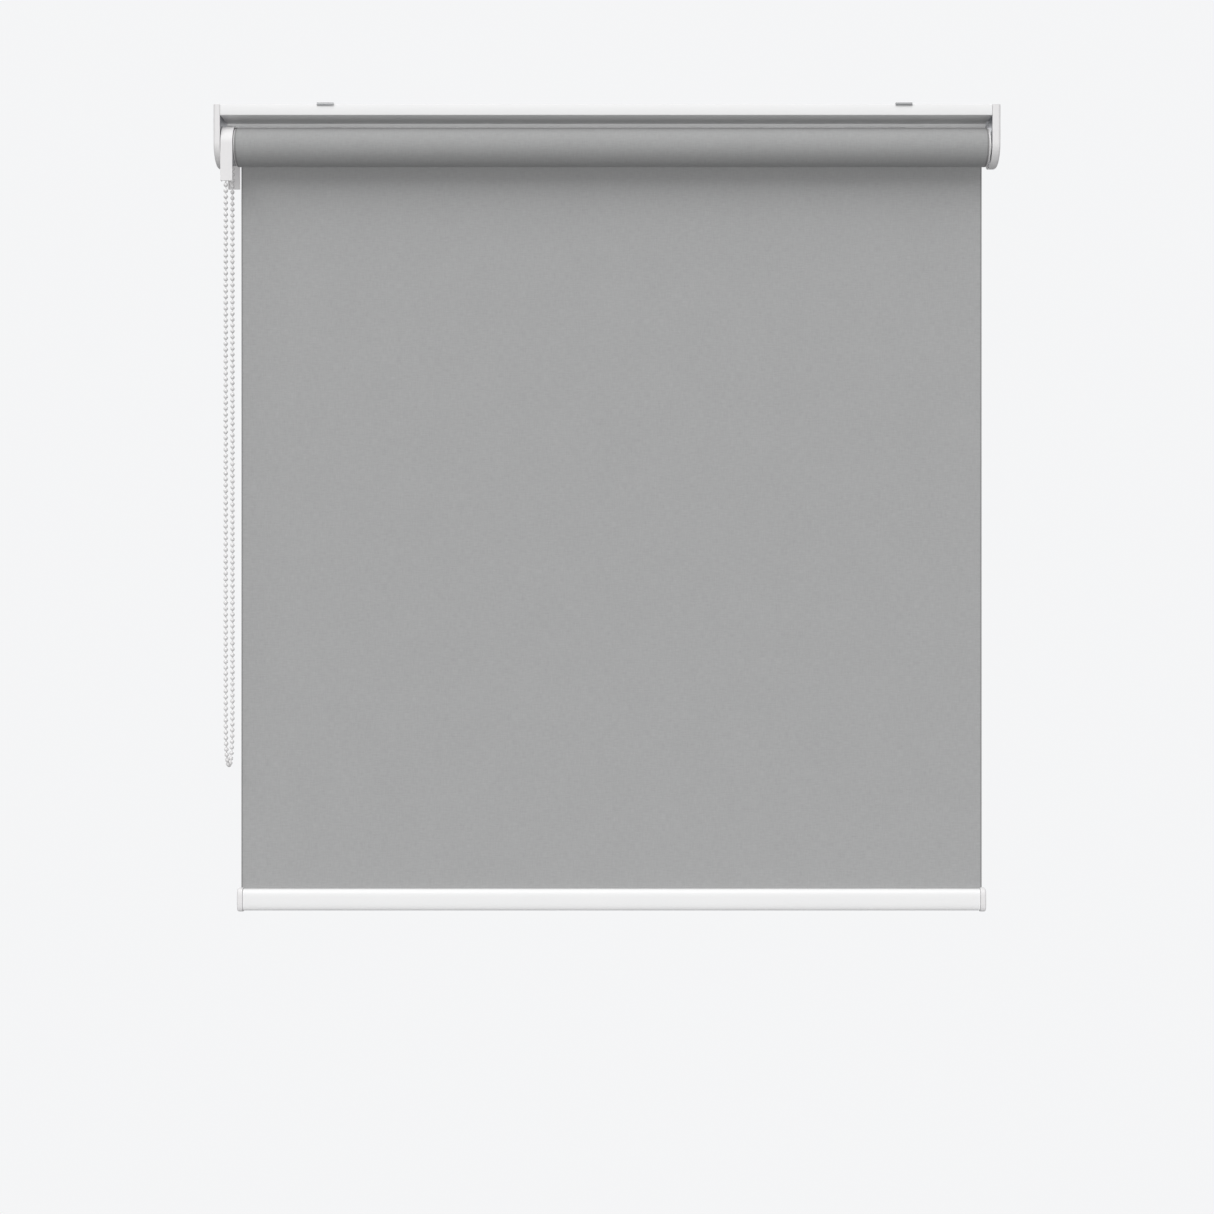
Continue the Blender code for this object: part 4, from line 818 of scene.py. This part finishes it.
class ROLLERBLIND_OT_mounting_clips(bpy.types.Operator):
    """Bends the two spring-steel clips that hold the rail to the ceiling"""

    bl_idname = "roller_blind.mounting_clips"
    bl_label = "Mounting Clips"

    def execute(self, context):
        softness = context.scene.roller_blind_sizes.edge_softness
        for side in ("left", "right"):
            low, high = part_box(f"mounting_clip_{side}")
            clip = as_object(f"ceiling_clip_{side}", drawn_out([clip_section()], low.x, high.x))
            middle = (low.x + high.x) / 2
            cut_away(clip, upright_peg(
                middle, (GROOVE_FRONT + GROOVE_BACK) / 2, -CLIP_SHEET - CUT, CUT, CLIP_HOLE
            ))
            soften(clip, softness * 0.6)
            keep(clip, "spring", "spring_steel", ROOT, f"mounting_clip_{side}")
        return {"FINISHED"}


# --- End brackets ---


def bracket_outline(steps=48):
    """The bracket seen from its side, as (y, z) in the frame."""
    top, back = RAIL_HIGH.z, RAIL_HIGH.y
    under = RAIL_LOW.z + RIB_DROP - LIP_DROP
    return [
        *moved(arc(BRACKET_RADIUS, 0, -180, steps), 0.0, AXIS_Z),
        (-BRACKET_RADIUS, top), (back, top), (back, under),
        (BRACKET_RADIUS, AXIS_Z + BRACKET_FLARE_LOW),
    ]


class ROLLERBLIND_OT_bracket_covers(bpy.types.Operator):
    """Moulds the rounded covers over the two end brackets"""

    bl_idname = "roller_blind.bracket_covers"
    bl_label = "Bracket Covers"

    def execute(self, context):
        softness = context.scene.roller_blind_sizes.edge_softness
        for kind, outward in (("control", -1), ("idle", 1)):
            low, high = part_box(f"{kind}_bracket_cover")
            plate_low, plate_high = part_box(f"{kind}_bracket_plate")
            end, rim = (low.x, high.x) if outward < 0 else (high.x, low.x)
            plate_back = plate_low.x if outward < 0 else plate_high.x
            shape = moulded(bracket_outline(), end, rim)
            bmesh.ops.delete(shape, geom=at_x(shape.faces, rim), context="FACES_ONLY")
            edges = [
                e for e in at_x(shape.edges, end)
                if min(v.co.z for v in e.verts) < RAIL_HIGH.z - 1e-5
            ]
            bevel(shape, edges, COVER_ROUNDING, 7)
            cover = as_object(f"{kind}_end_cover", shape)
            thicken(cover, COVER_WALL)
            wall_face = end - outward * (COVER_WALL - LAP)
            join_on(cover, *[
                turned([
                    (plate_back + outward * GAP, BOSS_BORE),
                    (plate_back + outward * GAP, BOSS_BORE + BOSS_WALL),
                    (wall_face, BOSS_BORE + BOSS_WALL), (wall_face, BOSS_BORE),
                ], 32, y=y, z=AXIS_Z + COVER_SCREW_RISE)
                for y in COVER_SCREW_PLACES
            ])
            soften(cover, softness)
            keep(cover, "moulding", "white_plastic", ROOT, f"{kind}_bracket_cover")
        return {"FINISHED"}


# --- Chain guard ---


class ROLLERBLIND_OT_chain_guard(bpy.types.Operator):
    """Moulds the horseshoe guard over the chain wheel"""

    bl_idname = "roller_blind.chain_guard"
    bl_label = "Chain Guard"

    def execute(self, context):
        leg = GUARD_RADIUS - GUARD_WALL - GUARD_CHEEK_LEG
        horseshoe = [
            (GUARD_RADIUS, -GUARD_DROP), *arc(GUARD_RADIUS, 0, 180, 64),
            (-GUARD_RADIUS, -GUARD_DROP),
        ]
        mouth = rounded([
            (-leg, -GUARD_DROP, 0.0), (-leg, -GUARD_CHEEK_DROP, GUARD_CHEEK_CORNER),
            (leg, -GUARD_CHEEK_DROP, GUARD_CHEEK_CORNER), (leg, -GUARD_DROP, 0.0),
        ])
        cheek = moved(horseshoe + mouth, 0.0, AXIS_Z)
        half = SPIGOT_HOLE / 2
        square = moved([(-half, -half), (half, -half), (half, half), (-half, half)], 0.0, AXIS_Z)
        shape = filled([cheek, square], GUARD_LOW.x)
        for face in shape.faces:
            if face.normal.x > 0.0:
                face.normal_flip()
        on_wall = [
            e for e in shape.edges
            if e.is_boundary and all(
                abs(math.hypot(v.co.y, max(v.co.z - AXIS_Z, 0.0)) - GUARD_RADIUS) < 1e-5
                for v in e.verts
            )
        ]
        grown = bmesh.ops.extrude_edge_only(shape, edges=on_wall)
        far = [item for item in grown["geom"] if isinstance(item, bmesh.types.BMVert)]
        bmesh.ops.translate(shape, verts=far, vec=(GUARD_HIGH.x - GUARD_LOW.x, 0.0, 0.0))
        bmesh.ops.recalc_face_normals(shape, faces=shape.faces)
        cheek_face = max(shape.faces, key=lambda f: -f.calc_center_median().x)
        if cheek_face.normal.x > 0.0:
            bmesh.ops.reverse_faces(shape, faces=shape.faces)
        guard = as_object("wheel_guard", shape)
        thicken(guard, GUARD_WALL)
        soften(guard, context.scene.roller_blind_sizes.edge_softness)
        keep(guard, "moulding", "white_plastic", ROOT, "chain_guard")
        return {"FINISHED"}


# --- Roller ends ---


def key_notch(x_low, x_high):
    """Cutter for the notch that takes the fold of the tube's keyway."""
    half = KEYWAY_WIDTH / 2 + TUBE_WALL + GAP
    floor = AXIS_Z + TUBE_RADIUS - KEYWAY_DEPTH - TUBE_WALL - GAP
    return block((x_low, -half, floor), (x_high, half, AXIS_Z + TUBE_RADIUS))


class ROLLERBLIND_OT_roller_ends(bpy.types.Operator):
    """Turns the drive sleeve and the idle plug that close the roller tube"""

    bl_idname = "roller_blind.roller_ends"
    bl_label = "Roller Ends"

    def execute(self, context):
        steps = context.scene.roller_blind_sizes.round_steps
        outer = TUBE_RADIUS - TUBE_WALL - GAP
        small = 0.4 * CHAMFER
        flange, end, face = SLEEVE_LOW.x, SLEEVE_HIGH.x, TUBE_LOW.x - GAP
        socket, wall = end - WHEEL_SOCKET_INSET, end - SLEEVE_END_WALL
        sleeve = as_object("sleeve_with_flange", turned([
            (end, outer - CHAMFER), (end - CHAMFER, outer), (face, outer),
            (face, FLANGE_RADIUS - small), (face - small, FLANGE_RADIUS),
            (flange + small, FLANGE_RADIUS), (flange, FLANGE_RADIUS - small),
            (flange, WHEEL_SOCKET_RADIUS), (socket, WHEEL_SOCKET_RADIUS),
            (socket, CHAMBER_RADIUS), (wall, CHAMBER_RADIUS), (wall, HUB_BORE),
            (end, HUB_BORE),
        ], steps))
        rib = [
            *arc(CHAMBER_RADIUS + LAP, 270 - RIB_SPAN / 2, 270 + RIB_SPAN / 2, 12),
            *arc(FINGER_INNER, 270 + RIB_SPAN / 2, 270 - RIB_SPAN / 2, 12),
        ]
        join_on(sleeve, drawn_out([moved(rib, 0.0, AXIS_Z)], socket, wall + LAP))
        cut_away(sleeve, key_notch(face, end + CUT))
        shade(sleeve)
        keep(sleeve, "moulding", "grey_plastic", ROLLER, "drive_sleeve")

        face, flange, tip = PLUG_HIGH.x, TUBE_HIGH.x + GAP, PLUG_LOW.x
        floor, seat = tip + PLUG_END_WALL, face - BUSH_BORE_DEPTH
        plug = as_object("plug_with_flange", turned([
            (floor, 0.0), (floor, PIN_BORE), (seat, PIN_BORE), (seat, BUSH_BORE),
            (face, BUSH_BORE), (face, FLANGE_RADIUS - CHAMFER),
            (face - 0.3 * CHAMFER, FLANGE_RADIUS - 0.3 * CHAMFER),
            (face - CHAMFER, FLANGE_RADIUS), (flange + small, FLANGE_RADIUS),
            (flange, FLANGE_RADIUS - small), (flange, outer), (tip + CHAMFER, outer),
            (tip, outer - CHAMFER), (tip, 0.0),
        ], steps, closed=False))
        cut_away(plug, key_notch(tip - CUT, flange))
        shade(plug)
        keep(plug, "moulding", "white_plastic", ROLLER, "idle_plug")
        return {"FINISHED"}


# --- Cloth ---


def cloth_grid(across, along, width, run):
    """A flat cloth in (x, distance along) with its UV map in metres."""
    shape = bmesh.new()
    uv = shape.loops.layers.uv.new("cloth")
    bmesh.ops.create_grid(shape, x_segments=across, y_segments=along, size=0.5)
    bmesh.ops.scale(shape, vec=(width, run, 1.0), verts=shape.verts)
    bmesh.ops.translate(shape, vec=(width / 2, run / 2, 0.0), verts=shape.verts)
    for face in shape.faces:
        for loop in face.loops:
            loop[uv].uv = loop.vert.co.xy
    return shape


def lay(shape, place):
    for vert in shape.verts:
        vert.co = place(vert.co.x, vert.co.y)


def cloth_piece(name, shape, thickness):
    """A cloth with its thickness, the same on both sides of the laid surface."""
    piece = as_object(name, shape)
    modify(piece, "SOLIDIFY", thickness=thickness, offset=0.0)
    settle(piece)
    shade(piece, 60.0)
    return piece


class ROLLERBLIND_OT_cloth(bpy.types.Operator):
    """Winds the cloth on the tube and hangs it down into the bottom bar"""

    bl_idname = "roller_blind.cloth"
    bl_label = "Cloth"

    def execute(self, context):
        sizes = context.scene.roller_blind_sizes
        thick = sizes.cloth_thickness
        left, width = DROP_LOW.x, DROP_HIGH.x - DROP_LOW.x
        outer = TUBE_RADIUS + (CLOTH_TURNS + 0.5) * thick

        def wound(turns_from, turns_to):
            """Distance along the spiral, from the outside in, between two counts of turns."""
            def run(turns):
                return 2 * math.pi * (outer * turns - thick * turns * turns / 2)
            return run(turns_to) - run(turns_from)

        def on_spiral(turns):
            radius = outer - thick * turns
            angle = 2 * math.pi * turns
            return radius * math.cos(angle), AXIS_Z + radius * math.sin(angle)

        for name, first, last, body, nodes in (
            ("cloth_outer_turn", 0.0, 1.0, ROOT, ()),
            ("cloth_wound", 1.0, CLOTH_TURNS, ROLLER, ("fabric_roll",)),
        ):
            run = wound(first, last)
            shape = cloth_grid(8, round(96 * (last - first)), width, run)

            def place(x, along, first=first, last=last, run=run):
                turns = first + (last - first) * along / run
                y, z = on_spiral(turns)
                return Vector((left + x, y, z))

            lay(shape, place)
            piece = cloth_piece(name, shape, thick)
            # The wound cloth takes the darker back-side tint, which also paints shade on the
            # roll.
            keep(piece, "cloth_back_with_painted_shade", "cloth", body, *nodes)

        foot = DROP_LOW.z
        run = AXIS_Z - foot

        def hang(x, along):
            """A slight wave that fades out at the roll and in the bar, and curled edges."""
            free = math.sin(math.pi * min(along / run, 1.0))
            wave = math.sin(2 * math.pi * (x / LONG_WAVE + 0.13))
            wave *= math.cos(math.pi * along / LONG_FADE)
            slant = x / SHORT_WAVE - along / SHORT_SLANT
            wave += 0.5 * math.sin(2 * math.pi * (slant + 0.4))
            edge = max(0.0, 1.0 - min(x, width - x) / CURL_WIDTH)
            y = outer + sizes.cloth_ripple * free * wave + sizes.edge_curl * free * edge**2
            return Vector((left + x, y, AXIS_Z - along))

        shape = cloth_grid(112, 96, width, run)
        lay(shape, hang)
        hanging = cloth_piece("cloth_hanging", shape, thick)
        hanging.data.materials.append(materials()["cloth"])
        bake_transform(hanging)
        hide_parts("fabric_drop")
        return {"FINISHED"}


# --- Bottom bar ---


def bar_section(steps=144):
    half_height = (BAR_HIGH.z - BAR_LOW.z) / 2
    lip = 90 - flat_oval_angle(BAR_SLOT / 2 / BAR_HALF_DEPTH)
    mouth = math.degrees(math.acos(BAR_SLOT / 2 / SPLINE_CHAMBER))
    outer = [
        *flat_oval(BAR_HALF_DEPTH, half_height, 180 - lip, 360 + lip, steps),
        *arc(SPLINE_CHAMBER, mouth, -180 - mouth, 24, (0.0, SPLINE_RISE)),
    ]
    return [moved(outer, BAR_Y, BAR_Z), moved(lower_hollow(0.0), BAR_Y, BAR_Z)]


def lower_hollow(spare):
    half_height = (BAR_HIGH.z - BAR_LOW.z) / 2 - BAR_WALL - spare
    start = flat_oval_angle((BAR_HOLLOW_TOP - spare) / half_height)
    half_depth = BAR_HALF_DEPTH - BAR_WALL - spare
    return flat_oval(half_depth, half_height, 180 - start, 360 + start, 64)


class ROLLERBLIND_OT_bottom_bar(bpy.types.Operator):
    """Draws the oval bottom bar and moulds its two end caps"""

    bl_idname = "roller_blind.bottom_bar"
    bl_label = "Bottom Bar"

    def execute(self, context):
        softness = context.scene.roller_blind_sizes.edge_softness
        bar = as_object("oval_bar", drawn_out(bar_section(), BAR_LOW.x, BAR_HIGH.x))
        shade(bar)
        keep(bar, "coating", "white_metal", BAR, "bottom_bar")
        for side, outward, bar_end in (("left", -1, BAR_LOW.x), ("right", 1, BAR_HIGH.x)):
            low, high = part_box(f"bar_cap_{side}")
            inner = bar_end + outward * GAP
            outer = low.x if outward < 0 else high.x
            half_height = (high.z - low.z) / 2
            rim = flat_oval((high.y - low.y) / 2, half_height, 0, 360, 120)[:-1]
            shape = moulded(moved(rim, BAR_Y, BAR_Z), inner, outer)
            bevel(shape, at_x(shape.edges, outer), CAP_ROUNDING, 8)
            cap = as_object(f"end_cap_{side}", shape)
            tongue = moved(lower_hollow(GAP), BAR_Y, BAR_Z)
            tip, root = inner - outward * CAP_TONGUE, inner + outward * LAP
            join_on(cap, drawn_out([tongue], *span(tip, root)))
            low_x, high_x = span(inner - outward * CUT, bar_end + outward * CAP_SLIT_REACH)
            cut_away(cap, block(
                (low_x, BAR_Y - CAP_SLIT / 2, DROP_LOW.z - GAP),
                (high_x, BAR_Y + CAP_SLIT / 2, high.z + CUT),
            ))
            soften(cap, softness)
            keep(cap, "moulding", "white_plastic", BAR, f"bar_cap_{side}")
        return {"FINISHED"}


# --- Pieces carried over from the frame ---


CARRIED = {
    "zinc": (
        "control_bracket_plate", "idle_bracket_plate", "rail_screw_left", "rail_screw_right",
        "control_cover_screw_front", "control_cover_screw_rear", "idle_cover_screw_front",
        "idle_cover_screw_rear", "hub_screw",
    ),
    "spring": (
        "hub_retaining_clip", "idle_pin", "idle_spring", "wrap_spring_1", "wrap_spring_2",
    ),
    "working": ("chain_wheel", "control_hub", "idle_bush"),
    "moulding": ("idle_socket", "tube_strip", "bar_spline"),
    "tube": ("roller_tube",),
}


class ROLLERBLIND_OT_fittings(bpy.types.Operator):
    """Gives the inner fittings their metal and plastic finishes"""

    bl_idname = "roller_blind.fittings"
    bl_label = "Fittings"

    def execute(self, context):
        made = materials()
        for finish, nodes in CARRIED.items():
            for node in nodes:
                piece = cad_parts[node]
                piece.data.materials.clear()
                piece.data.materials.append(made[finish])

        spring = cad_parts["idle_spring"]
        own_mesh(spring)
        return {"FINISHED"}


# --- Stage ---


def surroundings(stage):
    """A plain world: pale to the camera, and a soft light that is weaker from below."""
    world = bpy.data.worlds.new("studio")
    world.use_nodes = True
    tree = world.node_tree
    height = tree.nodes.new("ShaderNodeSeparateXYZ")
    tree.links.new(
        tree.nodes.new("ShaderNodeTexCoord").outputs["Generated"], height.inputs["Vector"]
    )
    rise = tree.nodes.new("ShaderNodeMapRange")
    rise.inputs["From Min"].default_value = -0.2
    rise.inputs["From Max"].default_value = 0.2
    rise.inputs["To Min"].default_value = stage.ground_strength
    rise.inputs["To Max"].default_value = stage.sky_strength
    tree.links.new(height.outputs["Z"], rise.inputs["Value"])
    seen = tree.nodes.new("ShaderNodeMix")
    seen.inputs["B"].default_value = stage.backdrop
    path = tree.nodes.new("ShaderNodeLightPath")
    tree.links.new(path.outputs["Is Camera Ray"], seen.inputs["Factor"])
    tree.links.new(rise.outputs["Result"], seen.inputs["A"])
    sky = tree.nodes["Background"]
    sky.inputs["Color"].default_value = (0.985, 0.99, 1.0, 1.0)
    tree.links.new(seen.outputs["Result"], sky.inputs["Strength"])
    return world


def soft_light(name, strength, spread, rise, side, shadow):
    """An even light from the front, risen above the horizon; one without shadow has no gloss."""
    light = bpy.data.lights.new(name, "SUN")
    light.energy = strength
    light.angle = spread
    light.use_shadow = shadow
    lamp = bpy.data.objects.new(name, light)
    lamp.rotation_euler = (math.pi / 2 - rise, 0.0, -side)
    lamp.visible_glossy = shadow
    bpy.context.scene.collection.objects.link(lamp)


class ROLLERBLIND_OT_stage(bpy.types.Operator):
    """Sets the camera, the pale floor and the soft lights"""

    bl_idname = "roller_blind.stage"
    bl_label = "Stage"

    def execute(self, context):
        stage = context.scene.roller_blind_stage
        camera = bpy.data.cameras.new("camera")
        camera.lens = stage.camera_lens
        camera.sensor_width = 36.0
        holder = bpy.data.objects.new("camera", camera)
        holder.location = (0.0, -stage.camera_distance, -stage.camera_drop)
        holder.rotation_euler = (math.pi / 2, 0.0, 0.0)
        context.scene.collection.objects.link(holder)
        context.scene.camera = holder

        shape = bmesh.new()
        bmesh.ops.create_circle(
            shape, cap_ends=True, segments=96, radius=stage.floor_radius,
            matrix=Matrix.Translation((0.0, 0.0, -stage.floor_drop)),
        )
        floor = as_object("floor", shape)
        ground = Finish("floor", context.scene.roller_blind_colours.floor, 0.9, specular=0.1)
        floor.data.materials.append(ground.material)

        context.scene.world = surroundings(stage)
        context.scene.view_settings.view_transform = "Standard"

        soft_light(
            "key", stage.key_strength, stage.key_spread, stage.key_rise, stage.key_side, True
        )
        soft_light("fill", stage.fill_strength, stage.fill_spread, stage.fill_rise, 0.0, False)
        soft_light(
            "back", stage.back_strength, stage.key_spread, stage.back_rise, math.pi, True
        )
        return {"FINISHED"}


# --- Panel and registration ---


OPERATORS = (
    ROLLERBLIND_OT_stage,
    ROLLERBLIND_OT_bead_chain,
    ROLLERBLIND_OT_head_rail,
    ROLLERBLIND_OT_mounting_clips,
    ROLLERBLIND_OT_bracket_covers,
    ROLLERBLIND_OT_chain_guard,
    ROLLERBLIND_OT_roller_ends,
    ROLLERBLIND_OT_cloth,
    ROLLERBLIND_OT_bottom_bar,
    ROLLERBLIND_OT_fittings,
)
GROUPS = {
    "roller_blind_sizes": RollerBlindSizes,
    "roller_blind_colours": RollerBlindColours,
    "roller_blind_stage": RollerBlindStage,
}


class ROLLERBLIND_PT_panel(bpy.types.Panel):
    """Lists the blind's values and the steps that build it"""

    bl_idname = "ROLLERBLIND_PT_panel"
    bl_label = "Roller Blind"
    bl_space_type = "VIEW_3D"
    bl_region_type = "UI"
    bl_category = "Roller Blind"

    def draw(self, context):
        for name, group in GROUPS.items():
            box = self.layout.box()
            for field in group.__annotations__:
                box.prop(getattr(context.scene, name), field)
        for operator in OPERATORS:
            self.layout.operator(operator.bl_idname)


def register():
    for group in (*GROUPS.values(), *OPERATORS, ROLLERBLIND_PT_panel):
        bpy.utils.register_class(group)
    for name, group in GROUPS.items():
        setattr(bpy.types.Scene, name, PointerProperty(type=group))


def unregister():
    for name in GROUPS:
        delattr(bpy.types.Scene, name)
    for group in (ROLLERBLIND_PT_panel, *reversed(OPERATORS), *reversed(GROUPS.values())):
        bpy.utils.unregister_class(group)


def main():
    register()
    for operator in OPERATORS:
        group, name = operator.bl_idname.split(".")
        getattr(getattr(bpy.ops, group), name)()


if __name__ == "__main__":
    main()
